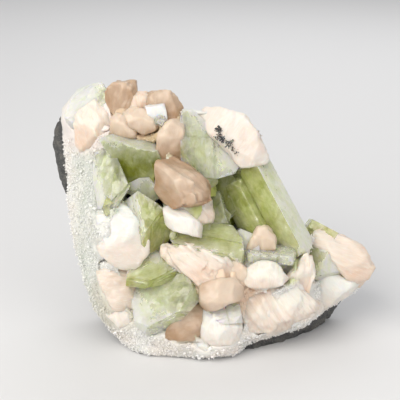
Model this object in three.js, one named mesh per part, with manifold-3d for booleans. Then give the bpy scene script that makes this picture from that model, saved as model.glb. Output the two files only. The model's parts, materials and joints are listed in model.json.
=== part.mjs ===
// Apophyllite with stilbite: a cabinet specimen from a basalt cavity.
// Millimetres, +Z up, +X along the longest side, the crystal bed faces -Y. The origin is on the surface
// the specimen rests on, under the middle of its box.
//
// Every crystal and lump is a convex body bounded by planes. A body can be rebuilt a little larger (its
// planes moved out by the gap), and that larger twin cuts whatever it is grown into, so touching pieces
// meet with one even, very thin gap.

import * as THREE from "three";
import Module from "manifold-3d";

const wasm = await Module();
wasm.setup();

// ---------------------------------------------------------------- driving dimensions
const GAP = 0.3; // between touching pieces
const PYRAMID_DEGREES = 60.4; // apophyllite: angle of its pyramid faces to the basal face
const DOME_FACES = [
  { tilt: 0, count: 1 },
  { tilt: 34, count: 4 },
  { tilt: 64, count: 6 },
]; // the faces that close a stilbite sheaf: degrees off its axis, and how many
// Moves the whole specimen so that the origin is under the middle of its box.
const SHIFT = [-0.25, -8.45, 0];

// Apophyllites: centre, rotation in degrees (X, Y, Z), extents along the two widths and the c axis,
// and how deep the pyramid faces cut the corners. Those of `ends: 2` show both their ends.
const APOPHYLLITES = {
  long_prism: {
    at: [30, -1.5, 65.5], turn: [-20, -28, -130], size: [11.5, 11, 50],
    tone: "mid", bevel: 2, rank: 1, ends: 2,
    step: { shift: [-1.5, -10.5, 4], size: [11, 11, 41] },
  },
  upper_block: {
    at: [-3, 10.5, 91], turn: [149, 0, 77], size: [20, 27, 28],
    tone: "pale", bevel: 2, rank: 3,
  },
  left_upper_block: {
    at: [-37.5, 8, 88], turn: [8, 11, -113], size: [20, 27, 15],
    tone: "olive", bevel: 1.5, rank: 3,
  },
  left_mottled: {
    at: [-41.5, 2, 77.5], turn: [152, -10, 27], size: [13, 16, 25],
    tone: "pale", bevel: 2, rank: 2,
  },
  left_ledge: {
    at: [-31.5, 2.5, 72.5], turn: [2, 0, -111], size: [14, 20, 14],
    tone: "pale", bevel: 2, rank: 4,
  },
  left_middle: {
    at: [-29.5, -3, 59], turn: [0, 9, -139], size: [18, 17, 22],
    tone: "mid", bevel: 2, rank: 3,
  },
  left_wedge: {
    at: [-28, -10, 38], turn: [140, -63, 19], size: [22, 15, 26],
    tone: "mid", bevel: 2, rank: 4,
  },
  lower_left_block: {
    at: [-20.5, -18, 24.5], turn: [41, -26, -75], size: [24, 27, 19],
    tone: "pale", bevel: 2.5, rank: 2,
  },
  cavity_back: {
    at: [3.5, 9.5, 67], turn: [-13, 9, -96], size: [14, 17, 24],
    tone: "olive", bevel: 1.5, rank: 7,
  },
  cavity_left: {
    at: [7, 3, 62], turn: [147, -2, 72], size: [12, 9, 18],
    tone: "olive", bevel: 1.5, rank: 5,
  },
  centre_bar: {
    at: [-6.5, -12, 51.5], turn: [135, 77, 77], size: [13, 13, 40],
    tone: "mid", bevel: 1.5, rank: 4,
  },
  centre_block: {
    at: [13.5, -8, 50], turn: [153, 4, 12], size: [13, 13, 24],
    tone: "mid", bevel: 1.5, rank: 3,
  },
  right_centre_block: {
    at: [25.5, -4, 39.5], turn: [1, 0, -102], size: [14, 24, 14],
    tone: "mid", bevel: 1.5, rank: 3,
  },
  right_rear_point: {
    at: [51.5, 8, 43], turn: [127, 51, 19], size: [12, 16, 18],
    tone: "mid", bevel: 1.5, rank: 5,
  },
  right_hollow: {
    at: [49.5, 3, 34.5], turn: [128, 16, 28], size: [15, 18, 18],
    tone: "mid", bevel: 1.5, rank: 4,
  },
  cavity_right: {
    at: [17.5, 1.5, 62], turn: [-20, -28, -130], size: [10, 11, 30],
    tone: "mid", bevel: 1.5, rank: 5,
  },
  cavity_chip: {
    at: [1.5, -3.5, 63.5], turn: [134, 12, 18], size: [8, 8, 15],
    tone: "pale", bevel: 1, rank: 6,
  },
  corner_block: {
    at: [-59, 23.5, 108], turn: [155, -49, 13], size: [11, 9, 18],
    tone: "pale", bevel: 1.5, rank: 6,
  },
  centre_shelf: {
    at: [26.5, -16, 47.5], turn: [1, 3, -93], size: [12, 20, 3],
    tone: "pale", bevel: 0.8, rank: 2,
  },
  ball_window: {
    at: [4, -25.5, 19], turn: [0, 73, -133], size: [12, 12, 17],
    tone: "pale", bevel: 1.5, rank: 4,
  },
};

// Stilbites: root, rotation in degrees, length of growth, half width and half thickness at the root,
// then how far the sheaf spreads and flares (degrees) and how high its domed end is.
const STILBITES = {
  spire: {
    at: [-44.5, 14.5, 104], turn: [-14, 7, 166], length: 18.5, root: [3.2, 4],
    spread: 10, flare: 4, dome: 3, tone: "peach", rank: 3,
  },
  spire_foot: {
    at: [-43, 9, 97], turn: [8, 0, 167], length: 12, root: [4.5, 4],
    spread: 4, flare: 4, dome: 4, tone: "peach", rank: 4,
  },
  top_shoulder: {
    at: [-33.5, 8.5, 98], turn: [2, 0, -180], length: 13, root: [7, 5],
    spread: 8, flare: 5, dome: 4, tone: "peach", rank: 4,
  },
  top_pink: {
    at: [-33, 13, 106.5], turn: [-14, 0, -180], length: 10, root: [3.5, 4],
    spread: 6, flare: 2, dome: 3, tone: "pink", rank: 5,
  },
  top_arc: {
    at: [-23, 10.5, 103.5], turn: [-14, 3, 180], length: 13, root: [6, 5],
    spread: 10, flare: 2, dome: 6, tone: "peach", rank: 6,
  },
  peach_arc: {
    at: [-21, 3, 85], turn: [-2, 2, -175], length: 20, root: [5, 5],
    spread: 4, flare: 3, dome: 5, tone: "peach", rank: 5,
  },
  centre_blade: {
    at: [-21.5, -7.5, 82], turn: [115, 53, -14], length: 24, root: [9, 6],
    spread: 2, flare: 0, dome: 7, tone: "peach", rank: 1,
  },
  centre_cream: {
    at: [-11.5, -9.5, 68], turn: [93, 43, 7], length: 12, root: [5, 4],
    spread: 6, flare: 2, dome: 5, tone: "cream", rank: 2,
  },
  white_lens: {
    at: [-22, -10.5, 65.5], turn: [112, 47, -7], length: 19, root: [4, 4],
    spread: 2, flare: 2, dome: 6, tone: "white", rank: 2,
  },
  upper_left_mass: {
    at: [-56.5, 22, 99], turn: [51, -6, 17], length: 9, root: [9, 7],
    spread: 8, flare: 8, dome: 6, tone: "pink", rank: 5,
  },
  left_white: {
    at: [-41.5, -2.5, 51], turn: [73, 16, -90], length: 16, root: [12.5, 10],
    spread: 6, flare: 8, dome: 9, tone: "white", rank: 4,
  },
  centre_fan: {
    at: [-5, -13.5, 38], turn: [52, 9, 5], length: 14, root: [11, 7],
    spread: 12, flare: 6, dome: 7, tone: "pink", rank: 2,
  },
  centre_fan_left: {
    at: [-17, -13, 44.5], turn: [57, -6, -90], length: 9, root: [5, 4],
    spread: 4, flare: 6, dome: 4, tone: "pink", rank: 4,
  },
  centre_fan_foot: {
    at: [-2.5, -23, 31.5], turn: [70, 45, 140], length: 14, root: [4.5, 5],
    spread: 8, flare: 4, dome: 4, tone: "peach", rank: 4,
  },
  small_peach_blade: {
    at: [12, -21.5, 31.5], turn: [1, 0, -180], length: 14, root: [3.5, 3],
    spread: 3, flare: 3, dome: 4, tone: "peach", rank: 5,
  },
  front_sheaf: {
    at: [31, -14, 21], turn: [64, 0, 27], length: 13, root: [17, 8],
    spread: 6, flare: 3, dome: 8, tone: "cream", rank: 3,
  },
  front_cap: {
    at: [25, -22, 30], turn: [8, 0, -180], length: 15, root: [7.5, 5],
    spread: 6, flare: 6, dome: 8, tone: "cream", rank: 2,
  },
  right_ribbed: {
    at: [41, -15.5, 27], turn: [-2, 3, -175], length: 18, root: [5.5, 4],
    spread: 3, flare: 3, dome: 3, tone: "pink", rank: 4,
  },
  right_white: {
    at: [59.5, 1.5, 25], turn: [64, 3, 30], length: 9, root: [10, 4.5],
    spread: 6, flare: 3, dome: 5, tone: "white", rank: 3,
  },
  right_tip: {
    at: [62, 5.5, 37], turn: [57, 6, -31], length: 12, root: [13.5, 7],
    spread: 8, flare: 6, dome: 6, tone: "pink", rank: 2,
  },
  white_ball: {
    at: [2, -25.5, 14], turn: [64, 0, 0], length: 10, root: [7, 7],
    spread: 4, flare: 4, dome: 7, tone: "white", rank: 5,
  },
  brown_foot: {
    at: [-13.5, -24.5, 15.5], turn: [64, 0, -91], length: 9, root: [8, 7],
    spread: 4, flare: 4, dome: 4, tone: "peach", rank: 5,
  },
  lower_left: {
    at: [-46, -10.5, 28], turn: [64, -3, -90], length: 9, root: [13, 7],
    spread: 4, flare: 6, dome: 5, tone: "cream", rank: 5,
  },
  corner_wedge: {
    at: [-42, -17.5, 15.5], turn: [61, 0, 22], length: 7, root: [5, 2.5],
    spread: 8, flare: 6, dome: 3, tone: "white", rank: 5,
  },
  foot_bud: {
    at: [-4.5, -28, 7.5], turn: [58, 6, -90], length: 6, root: [2.5, 2.5],
    spread: 6, flare: 6, dome: 3, tone: "cream", rank: 6,
  },
  upper_right: {
    at: [12.5, 14.5, 93], turn: [64, 3, -69], length: 12, root: [9.5, 8.5],
    spread: 3, flare: 2, dome: 7, tone: "white", rank: 5,
  },
  small_triangle: {
    at: [23, -13, 48.5], turn: [1, 0, -180], length: 11, root: [5, 3],
    spread: -6, flare: 0, dome: 4, tone: "peach", rank: 5,
  },
};

// The opaque white crystal and the round clear grain beside it: centre, rotation, extents or radii.
const WHITE_CRYSTAL = {
  at: [-26.5, 7, 109], turn: [0, -8, 12], size: [9, 7, 7.5],
  bevel: 1.5, tone: "white",
};
const CLEAR_GRAIN = { at: [-24.5, 4, 106], radii: [2.8, 2.8, 2.6], faces: 16, tone: "pale" };

// The matrix is a slab that leans back. In its own frame x runs across, s up the slab, t out of its face.
const LEAN_DEGREES = 20;
const FACE_T = 32; // how far out the face is where it is fullest
const FACE_FULLEST_X = -5;
const FACE_BOW = 0.0052; // mm of fall per mm squared away from there
const HOLLOW = { x: 3, s: 72, deep: 12, wide: 20 }; // the open pocket under the upper crystals
const CRUST_THICK = 7;
const CRUST_GAP = 2; // between the crust's back and the basalt, out of sight

// Rims of the crust and of the basalt behind it: [x, s].
const CRUST_RIM = [
  [-75, 98], [-73, 109], [-65, 118], [-55.5, 120.5], [-50.5, 115], [-46, 108.5],
  [-31, 106.5], [-15.5, 106], [-1, 106], [12, 103], [20, 98], [24.5, 89],
  [25, 78], [34.5, 58.5], [44, 47], [60.5, 45.5], [77, 37], [80, 30.5],
  [74.5, 22], [59, 11.5], [41.5, 2], [23.5, -2.5], [15, -5.5], [10, -10],
  [-2.5, -12], [-18, -11], [-33, -10.5], [-46, 0], [-57, 12], [-62, 26],
  [-68, 48], [-71.5, 66],
];
const BASALT_RIM = [
  [-79, 90], [-79.5, 99], [-75, 107], [-62, 113], [-43, 107], [-20, 103],
  [6, 101], [19, 92], [22, 76], [35, 53], [56, 42], [72, 34],
  [73, 25], [60, 10], [43.5, 0], [28, -6.5], [11, -12.5], [-14, -13.5],
  [-31, -11.5], [-48, 2], [-59, 20], [-66, 48], [-75, 72],
];
// Lumps on the open faces of the slab: how high they stand, and how tightly they follow each other.
const BROAD_LUMPS = { high: 0.9, acrossWave: 0.31, upWave: 0.27 };
const FINE_LUMPS = { high: 0.5, wave: 0.5 };
const BACK_T = -14; // the back of the basalt slab
const BACK_LUMPS = 2; // the back is this much rougher
const HEEL = { at: [-6, 14, 14], radii: [42, 23, 21], faces: 20 }; // the thick foot of basalt behind
const BASE_Z = 0; // the flat face the basalt rests on
const CRUST_FOOT_Z = 1.2; // the crust ends just above it

const TONES = {
  pale: { color: 0xdfe8cf, roughness: 0.25, metalness: 0 },
  mid: { color: 0xbccb7e, roughness: 0.15, metalness: 0 },
  olive: { color: 0x8f9445, roughness: 0.15, metalness: 0 },
  peach: { color: 0xdcb894, roughness: 0.45, metalness: 0 },
  pink: { color: 0xecd3c6, roughness: 0.45, metalness: 0 },
  cream: { color: 0xf0e6d8, roughness: 0.45, metalness: 0 },
  white: { color: 0xf4f2ec, roughness: 0.5, metalness: 0 },
  druse: { color: 0xe6e7e2, roughness: 0.7, metalness: 0 },
  basalt: { color: 0x3a3a3c, roughness: 0.9, metalness: 0 },
};

// ---------------------------------------------------------------- convex bodies from planes
// A plane is { n: THREE.Vector3 (unit, pointing out), d: distance from the origin along n }.

function cornerOf(a, b, c) {
  const bc = new THREE.Vector3().crossVectors(b.n, c.n);
  const det = a.n.dot(bc);
  if (Math.abs(det) < 1e-4) return null;
  const ca = new THREE.Vector3().crossVectors(c.n, a.n);
  const ab = new THREE.Vector3().crossVectors(a.n, b.n);
  return bc.multiplyScalar(a.d).addScaledVector(ca, b.d).addScaledVector(ab, c.d).divideScalar(det);
}

// Corners where three planes meet inside all the others, with near-equal ones taken once.
function cornersOf(planes) {
  const corners = [];
  const inside = (p) => planes.every((q) => q.n.dot(p) <= q.d + 1e-5);
  for (let i = 0; i < planes.length; i++)
    for (let j = i + 1; j < planes.length; j++)
      for (let k = j + 1; k < planes.length; k++) {
        const p = cornerOf(planes[i], planes[j], planes[k]);
        if (p && inside(p) && !corners.some((q) => q.distanceTo(p) < 1e-3)) corners.push(p);
      }
  return corners;
}

// The solid inside all the planes: each plane's corners in order round it, joined as a fan.
function solidInside(planes) {
  const corners = cornersOf(planes);
  const triangles = [];
  for (const { n, d } of planes) {
    const ring = corners.map((p, i) => i).filter((i) => Math.abs(n.dot(corners[i]) - d) < 2e-3);
    if (ring.length < 3) continue;
    const middle = new THREE.Vector3();
    ring.forEach((i) => middle.addScaledVector(corners[i], 1 / ring.length));
    const u = corners[ring[0]].clone().sub(middle).normalize();
    const v = new THREE.Vector3().crossVectors(n, u);
    const angle = (i) => {
      const r = corners[i].clone().sub(middle);
      return Math.atan2(r.dot(v), r.dot(u));
    };
    ring.sort((i, j) => angle(i) - angle(j));
    for (let i = 1; i + 1 < ring.length; i++) triangles.push(ring[0], ring[i], ring[i + 1]);
  }
  return new wasm.Manifold(
    new wasm.Mesh({
      numProp: 3,
      vertProperties: new Float32Array(corners.flatMap((p) => p.toArray())),
      triVerts: new Uint32Array(triangles),
    }),
  );
}

// Local planes turned and moved into the specimen, each moved out by `grow`.
function place(planes, at, turn, grow) {
  const spin = new THREE.Euler(...turn.map(THREE.MathUtils.degToRad));
  const centre = new THREE.Vector3(...at);
  return planes.map(({ n, d }) => {
    const turned = n.clone().applyEuler(spin);
    return { n: turned, d: d + turned.dot(centre) + grow };
  });
}

const plane = (x, y, z, d) => {
  const n = new THREE.Vector3(x, y, z);
  return { n: n.clone().normalize(), d: d / n.length() };
};

// ---------------------------------------------------------------- the shapes
// A tetragonal crystal: four prism faces, two basal faces, and four pyramid faces over the corners of its
// free end, or of both ends. The other end is plain, since it is rooted out of sight.
// `step` adds a crystal grown parallel to it: how far to the side in its frame, and its extents.
function apophylliteSolid({ at, turn, size, bevel, ends = 1, step }, grow) {
  const [x, y, z] = size.map((s) => s / 2);
  const planes = [
    plane(1, 0, 0, x),
    plane(-1, 0, 0, x),
    plane(0, 1, 0, y),
    plane(0, -1, 0, y),
    plane(0, 0, 1, z),
    plane(0, 0, -1, z),
  ];
  const slope = THREE.MathUtils.degToRad(PYRAMID_DEGREES);
  const flat = Math.sin(slope) / Math.SQRT2;
  const reach = flat * (x + y) + Math.cos(slope) * z - bevel;
  for (const sx of [1, -1])
    for (const sy of [1, -1])
      for (const sz of ends === 2 ? [1, -1] : [1])
        planes.push(plane(sx * flat, sy * flat, sz * Math.cos(slope), reach));
  const crystal = solidInside(place(planes, at, turn, grow));
  if (!step) return crystal;
  const spin = new THREE.Euler(...turn.map(THREE.MathUtils.degToRad));
  const beside = new THREE.Vector3(...step.shift).applyEuler(spin).add(new THREE.Vector3(...at));
  const second = { at: beside.toArray(), turn, size: step.size, bevel, ends };
  return crystal.add(apophylliteSolid(second, grow));
}

// A stilbite sheaf: a tapered blade that widens from its root, closed by a faceted dome.
function stilbiteSolid({ at, turn, length, root, spread, flare, dome }, grow) {
  const side = THREE.MathUtils.degToRad(spread);
  const face = THREE.MathUtils.degToRad(flare);
  const half = root[0] + length * Math.tan(side);
  const thick = root[1] + length * Math.tan(face);
  const planes = [plane(0, 0, -1, 0)];
  for (const s of [1, -1]) {
    planes.push(plane(s * Math.cos(side), 0, -Math.sin(side), root[0] * Math.cos(side)));
    planes.push(plane(0, s * Math.cos(face), -Math.sin(face), root[1] * Math.cos(face)));
  }
  for (const { tilt, count } of DOME_FACES)
    for (let i = 0; i < count; i++) {
      const a = THREE.MathUtils.degToRad(tilt);
      const b = (2 * Math.PI * (i + 0.5)) / count;
      const n = new THREE.Vector3(Math.sin(a) * Math.cos(b), Math.sin(a) * Math.sin(b), Math.cos(a));
      const support = Math.hypot(half * n.x, thick * n.y, dome * n.z);
      planes.push({ n, d: (length - dome) * n.z + support });
    }
  return solidInside(place(planes, at, turn, grow));
}

// A rough lump: planes touching an ellipsoid, spread evenly by the golden angle.
function lumpSolid({ at, radii, faces }, grow, cuts = []) {
  const planes = [];
  for (let i = 0; i < faces; i++) {
    const z = 1 - (2 * i + 1) / faces;
    const r = Math.sqrt(1 - z * z);
    const a = i * Math.PI * (3 - Math.sqrt(5)) + at[0];
    const n = new THREE.Vector3(r * Math.cos(a), r * Math.sin(a), z);
    planes.push({ n, d: Math.hypot(radii[0] * n.x, radii[1] * n.y, radii[2] * n.z) });
  }
  return solidInside([...place(planes, at, [0, 0, 0], grow), ...cuts]);
}

// How far out the crystal bed lies at a place on the slab, before its rim rounds off.
function faceT(x, s) {
  const pocket = ((x - HOLLOW.x) ** 2 + (s - HOLLOW.s) ** 2) / (2 * HOLLOW.wide ** 2);
  return FACE_T - FACE_BOW * (x - FACE_FULLEST_X) ** 2 - HOLLOW.deep * Math.exp(-pocket);
}

// Gentle lumps on the open surfaces.
function roughness(x, s) {
  const broad = Math.cos(BROAD_LUMPS.acrossWave * x) * Math.sin(BROAD_LUMPS.upWave * s);
  return BROAD_LUMPS.high * broad + FINE_LUMPS.high * Math.sin(FINE_LUMPS.wave * (x + s));
}

// Rings from the rim to the middle: share of the way out, and how far the surface rounds off there.
const RINGS = [
  { out: 1, fall: 6 },
  { out: 0.95, fall: 2.5 },
  { out: 0.85, fall: 0.5 },
  { out: 0.55, fall: 0 },
];

// A closed slab between two faces, inside a rim, cut off flat at the height `foot`.
function slabSolid(rim, { front, back, foot }) {
  const lean = THREE.MathUtils.degToRad(LEAN_DEGREES);
  const middle = rim.reduce((m, p) => [m[0] + p[0] / rim.length, m[1] + p[1] / rim.length], [0, 0]);
  const at = (x, s, t) => [
    x,
    s * Math.sin(lean) - t * Math.cos(lean),
    s * Math.cos(lean) + t * Math.sin(lean),
  ];
  const vertices = [];
  for (const [surface, rounding] of [[front, -1], [back, 0]])
    for (const { out, fall } of RINGS)
      for (const [rx, rs] of rim) {
        const x = middle[0] + (rx - middle[0]) * out;
        const s = middle[1] + (rs - middle[1]) * out;
        vertices.push(...at(x, s, surface(x, s) + rounding * fall));
      }
  const n = rim.length;
  const ring = (k, i) => k * n + (i % n);
  const triangles = [];
  const quad = (a, b, c, d) => triangles.push(a, c, b, a, d, c);
  for (let i = 0; i < n; i++) {
    for (let k = 0; k + 1 < RINGS.length; k++) {
      const j = k + RINGS.length;
      quad(ring(k, i), ring(k, i + 1), ring(k + 1, i + 1), ring(k + 1, i));
      quad(ring(j, i + 1), ring(j, i), ring(j + 1, i), ring(j + 1, i + 1));
    }
    quad(ring(RINGS.length, i), ring(RINGS.length, i + 1), ring(0, i + 1), ring(0, i));
  }
  const last = RINGS.length - 1;
  const frontMiddle = vertices.length / 3;
  vertices.push(...at(...middle, front(...middle)), ...at(...middle, back(...middle)));
  for (let i = 0; i < n; i++) {
    triangles.push(frontMiddle, ring(last, i + 1), ring(last, i));
    triangles.push(frontMiddle + 1, ring(last + RINGS.length, i), ring(last + RINGS.length, i + 1));
  }
  const solid = new wasm.Manifold(
    new wasm.Mesh({
      numProp: 3,
      vertProperties: new Float32Array(vertices),
      triVerts: new Uint32Array(triangles),
    }),
  );
  return solid.intersect(aboveFloor(foot));
}

// Everything over the height `foot` within reach of the specimen.
function aboveFloor(foot) {
  const reach = 400;
  return solidInside([
    plane(1, 0, 0, reach),
    plane(-1, 0, 0, reach),
    plane(0, 1, 0, reach),
    plane(0, -1, 0, reach),
    plane(0, 0, 1, reach),
    plane(0, 0, -1, -foot),
  ]);
}

const joined = (solids) => solids.reduce((all, s) => all.add(s));

// Booleans can leave loose chips: the piece is its largest body.
const largest = (solid) =>
  solid.decompose().reduce((best, s) => (s.volume() > best.volume() ? s : best));

// ---------------------------------------------------------------- growing the specimen
// Crystals are placed in order. Each one keeps its shape against those after it.
const crystals = [];
for (const [name, shape] of Object.entries(STILBITES))
  crystals.push({ name: "stilbite_" + name, shape, make: stilbiteSolid });
for (const [name, shape] of Object.entries(APOPHYLLITES))
  crystals.push({ name: "apophyllite_" + name, shape, make: apophylliteSolid });

crystals.push({ name: "white_crystal", shape: WHITE_CRYSTAL, make: apophylliteSolid });
crystals.push({ name: "clear_grain", shape: CLEAR_GRAIN, make: lumpSolid });

const pieces = new Map(); // name -> { solid, tone }
const grown = []; // the larger twins of the crystals placed so far
const order = (c) => c.shape.rank ?? 5;
crystals.sort((a, b) => order(a) - order(b));
for (const { name, shape, make } of crystals) {
  const cut = grown.reduce((solid, twin) => solid.subtract(twin), make(shape, 0));
  pieces.set(name, { solid: largest(cut), tone: shape.tone });
  grown.push(make(shape, GAP));
}
const allGrown = joined(grown);

const crustBack = (x, s) => faceT(x, s) - CRUST_THICK;
const crust = slabSolid(CRUST_RIM, {
  front: (x, s) => faceT(x, s) + roughness(x, s),
  back: crustBack,
  foot: CRUST_FOOT_Z,
}).subtract(allGrown);
const basalt = slabSolid(BASALT_RIM, {
  front: (x, s) => crustBack(x, s) - CRUST_GAP,
  back: (x, s) => BACK_T + BACK_LUMPS * roughness(x, s),
  foot: BASE_Z,
})
  .add(lumpSolid(HEEL, 0, [plane(0, 0, -1, -BASE_Z)]))
  .subtract(allGrown);
pieces.set("druse_crust", { solid: largest(crust), tone: "druse" });
pieces.set("basalt_matrix", { solid: largest(basalt), tone: "basalt" });

// ---------------------------------------------------------------- the scene graph
const specimen = new THREE.Group();
for (const [name, { solid, tone }] of pieces) {
  const mesh = solid.getMesh();
  const geometry = new THREE.BufferGeometry();
  geometry.setAttribute("position", new THREE.BufferAttribute(mesh.vertProperties, 3));
  geometry.setIndex(new THREE.BufferAttribute(mesh.triVerts, 1));
  geometry.computeVertexNormals();
  const piece = new THREE.Mesh(geometry, new THREE.MeshStandardMaterial(TONES[tone]));
  piece.name = name;
  specimen.add(piece);
}
specimen.position.set(...SHIFT);

export default specimen;
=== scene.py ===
"""A cabinet specimen of green apophyllite with peach stilbite, on a white drusy crust over basalt.

Shapes are worked out in millimetres from the frame's nodes, and turned into metres when a mesh is made.
The specimen leans back: ACROSS, UP and OUT are its own directions, along the bed, up it and out of it.
"""

import contextlib
import functools
import itertools
import json
import math
import zlib

import bmesh
import bpy
import numpy as np
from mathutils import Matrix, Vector


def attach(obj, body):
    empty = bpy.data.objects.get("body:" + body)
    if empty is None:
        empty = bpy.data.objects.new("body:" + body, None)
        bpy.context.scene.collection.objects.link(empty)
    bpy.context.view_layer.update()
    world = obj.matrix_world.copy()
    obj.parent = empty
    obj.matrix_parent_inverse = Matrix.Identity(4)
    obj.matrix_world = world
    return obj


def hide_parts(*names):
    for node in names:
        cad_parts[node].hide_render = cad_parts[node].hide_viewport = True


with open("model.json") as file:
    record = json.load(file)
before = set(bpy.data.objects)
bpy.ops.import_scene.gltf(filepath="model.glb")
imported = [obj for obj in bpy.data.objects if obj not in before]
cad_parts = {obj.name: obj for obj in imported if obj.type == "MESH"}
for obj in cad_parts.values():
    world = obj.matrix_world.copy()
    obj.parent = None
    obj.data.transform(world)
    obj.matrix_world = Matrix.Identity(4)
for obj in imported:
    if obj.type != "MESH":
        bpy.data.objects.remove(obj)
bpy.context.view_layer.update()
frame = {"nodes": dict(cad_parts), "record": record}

MM = 0.001
LEAN = math.radians(20)
ACROSS = np.array([1.0, 0.0, 0.0])
UP = np.array([0.0, math.sin(LEAN), math.cos(LEAN)])
OUT = np.array([0.0, -math.cos(LEAN), math.sin(LEAN)])
SLAB = np.stack([ACROSS, UP, OUT])  # rows turn a place into (across, up, out)
ON_PLANE = 4e-3  # how near to a plane, in mm, a corner counts as lying on it


# ---------------------------------------------------------------- small tools
def unit(v):
    return v / np.linalg.norm(v)


def clamped(values):
    return np.clip(values, 0, 1)


def bare(node):
    """A crystal's name without its mineral."""
    return node.split("_", 1)[1]


def slab_direction(across, up, out):
    return unit(across * ACROSS + up * UP + out * OUT)


def dice(name):
    """Random numbers that are the same for a name on every run."""
    return np.random.default_rng(zlib.crc32(name.encode()))


def node_triangles(name):
    """A node's triangles as points, in millimetres."""
    mesh = frame["nodes"][name].data
    mesh.calc_loop_triangles()
    points = np.array([v.co for v in mesh.vertices]) / MM
    return points[np.array([t.vertices[:] for t in mesh.loop_triangles])]


@functools.lru_cache(None)
def outer_planes(name, smallest=0.05, recess=0.03, same=0.9995, opposite=-0.98):
    """The planes of a node's flat faces that nothing of it stands in front of, as rows of (normal, distance).
    Where no face looks back at one of them, a plane behind the node does."""
    triangles = node_triangles(name)
    normals = np.cross(triangles[:, 1] - triangles[:, 0], triangles[:, 2] - triangles[:, 0])
    areas = np.linalg.norm(normals, axis=1) / 2
    points = triangles.reshape(-1, 3)
    planes = []
    for i in np.argsort(-areas):
        if areas[i] < smallest:
            break
        normal = normals[i] / (2 * areas[i])
        reach = (points @ normal).max()
        if reach - triangles[i, 0] @ normal > recess:
            continue
        if not any(p[:3] @ normal > same for p in planes):
            planes.append([*normal, reach])
    for p in list(planes):
        if not any(q[:3] @ np.array(p[:3]) < opposite for q in planes):
            planes.append([*(-np.array(p[:3])), (-points @ np.array(p[:3])).max()])
    return np.array(planes)


@functools.lru_cache(None)
def triples(count):
    return np.array(list(itertools.combinations(range(count), 3))).T


def corners(planes, parallel=1e-3, slack=1e-4):
    """Where three of the planes meet inside all the others."""
    i, j, k = triples(len(planes))
    normals, distances = planes[:, :3], planes[:, 3:]
    crossed = np.cross(normals[:, None], normals[None])
    volume = np.einsum("nc,nc->n", normals[i], crossed[j, k])
    meets = np.abs(volume) > parallel
    i, j, k = i[meets], j[meets], k[meets]
    points = distances[i] * crossed[j, k] + distances[j] * crossed[k, i] + distances[k] * crossed[i, j]
    points /= volume[meets, None]
    inside = (points @ normals.T <= planes[:, 3] + slack).all(1)
    return np.unique(np.round(points[inside], 3), axis=0)


def needed(planes):
    """The planes that the body inside them all has a face on."""
    points = corners(planes)
    return planes[(np.abs(points @ planes[:, :3].T - planes[:, 3]) < ON_PLANE).sum(0) > 2]


def solid_inside(planes):
    """The convex body inside the planes: its corners, and each face as a ring of corner numbers."""
    points = corners(planes)
    faces = []
    for *normal, distance in planes:
        normal = np.array(normal)
        ring = np.nonzero(np.abs(points @ normal - distance) < ON_PLANE)[0]
        if len(ring) < 3:
            continue
        middle = points[ring].mean(0)
        u = unit(points[ring[0]] - middle)
        v = np.cross(normal, u)
        spokes = points[ring] - middle
        faces.append(ring[np.argsort(np.arctan2(spokes @ v, spokes @ u))])
    return points, faces


def moved_out(planes, distances):
    grown = planes.copy()
    grown[:, 3] += distances
    return grown


def whole(bodies, least=4):
    """The bodies that planes left at least so many faces of."""
    return [b for b in bodies if len(b[1]) >= least]


def loose_triangles(triangles):
    return triangles.reshape(-1, 3), np.arange(3 * len(triangles)).reshape(-1, 3).tolist()


def joined_bodies(bodies):
    """Several bodies as one list of points and one of faces."""
    points, faces, start = [], [], 0
    for body_points, body_faces in bodies:
        points.append(body_points)
        faces += [[int(i) + start for i in f] for f in body_faces]
        start += len(body_points)
    return np.concatenate(points), faces


def link(name, data):
    made = bpy.data.objects.new(name, data)
    bpy.context.scene.collection.objects.link(made)
    return made


def new_object(name, points, faces):
    mesh = bpy.data.meshes.new(name)
    mesh.from_pydata((np.asarray(points) * MM).tolist(), [], faces)
    mesh.update()
    return link(name, mesh)


def modify(piece, *changes):
    """Puts modifiers on the piece, each given as its kind and its settings, and applies them."""
    for kind, settings in changes:
        change = piece.modifiers.new(kind, kind)
        for key, value in settings.items():
            setattr(change, key, value)
    graph = bpy.context.evaluated_depsgraph_get()
    mesh = bpy.data.meshes.new_from_object(piece.evaluated_get(graph))
    piece.modifiers.clear()
    old, piece.data = piece.data, mesh
    bpy.data.meshes.remove(old)
    mesh.name = piece.name


def remesh(piece, voxel, smoothing):
    """Makes the piece one closed skin of cells about `voxel` millimetres wide, smoothed so many times."""
    modify(
        piece,
        ("REMESH", {"mode": "VOXEL", "voxel_size": voxel * MM}),
        ("SMOOTH", {"factor": 0.5, "iterations": smoothing}),
    )


@contextlib.contextmanager
def edited(piece):
    """The piece's mesh open for editing, and put back afterwards."""
    work = bmesh.new()
    work.from_mesh(piece.data)
    yield work
    work.to_mesh(piece.data)
    work.free()


def places(piece):
    """The piece's points in millimetres, and its normals."""
    mesh = piece.data
    points = np.empty(len(mesh.vertices) * 3, np.float32)
    normals = np.empty(len(mesh.vertices) * 3, np.float32)
    mesh.vertices.foreach_get("co", points)
    mesh.vertices.foreach_get("normal", normals)
    return points.reshape(-1, 3).astype(float) / MM, normals.reshape(-1, 3).astype(float)


def put_places(piece, points):
    piece.data.vertices.foreach_set("co", (points * MM).astype(np.float32).ravel())
    piece.data.update()


def store(piece, name, values):
    """Stores a number, or a place in millimetres, for each point, for the materials to follow."""
    values = np.asarray(values, np.float32)
    kind, field = ("FLOAT_VECTOR", "vector") if values.ndim > 1 else ("FLOAT", "value")
    piece.data.attributes.new(name, kind, "POINT").data.foreach_set(field, values.ravel())


def scattered(cells_at, seed):
    """A number from 0 to 1 for each whole-numbered cell, the same on every run."""
    largest = 0xFFFFFFFF
    key = (cells_at @ np.array([73856093, 19349663, 83492791]) + seed) & largest
    for factor, shift in ((2654435761, 15), (2246822519, 13)):
        key = (key * factor) & largest
        key ^= key >> shift
    return key / largest


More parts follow.
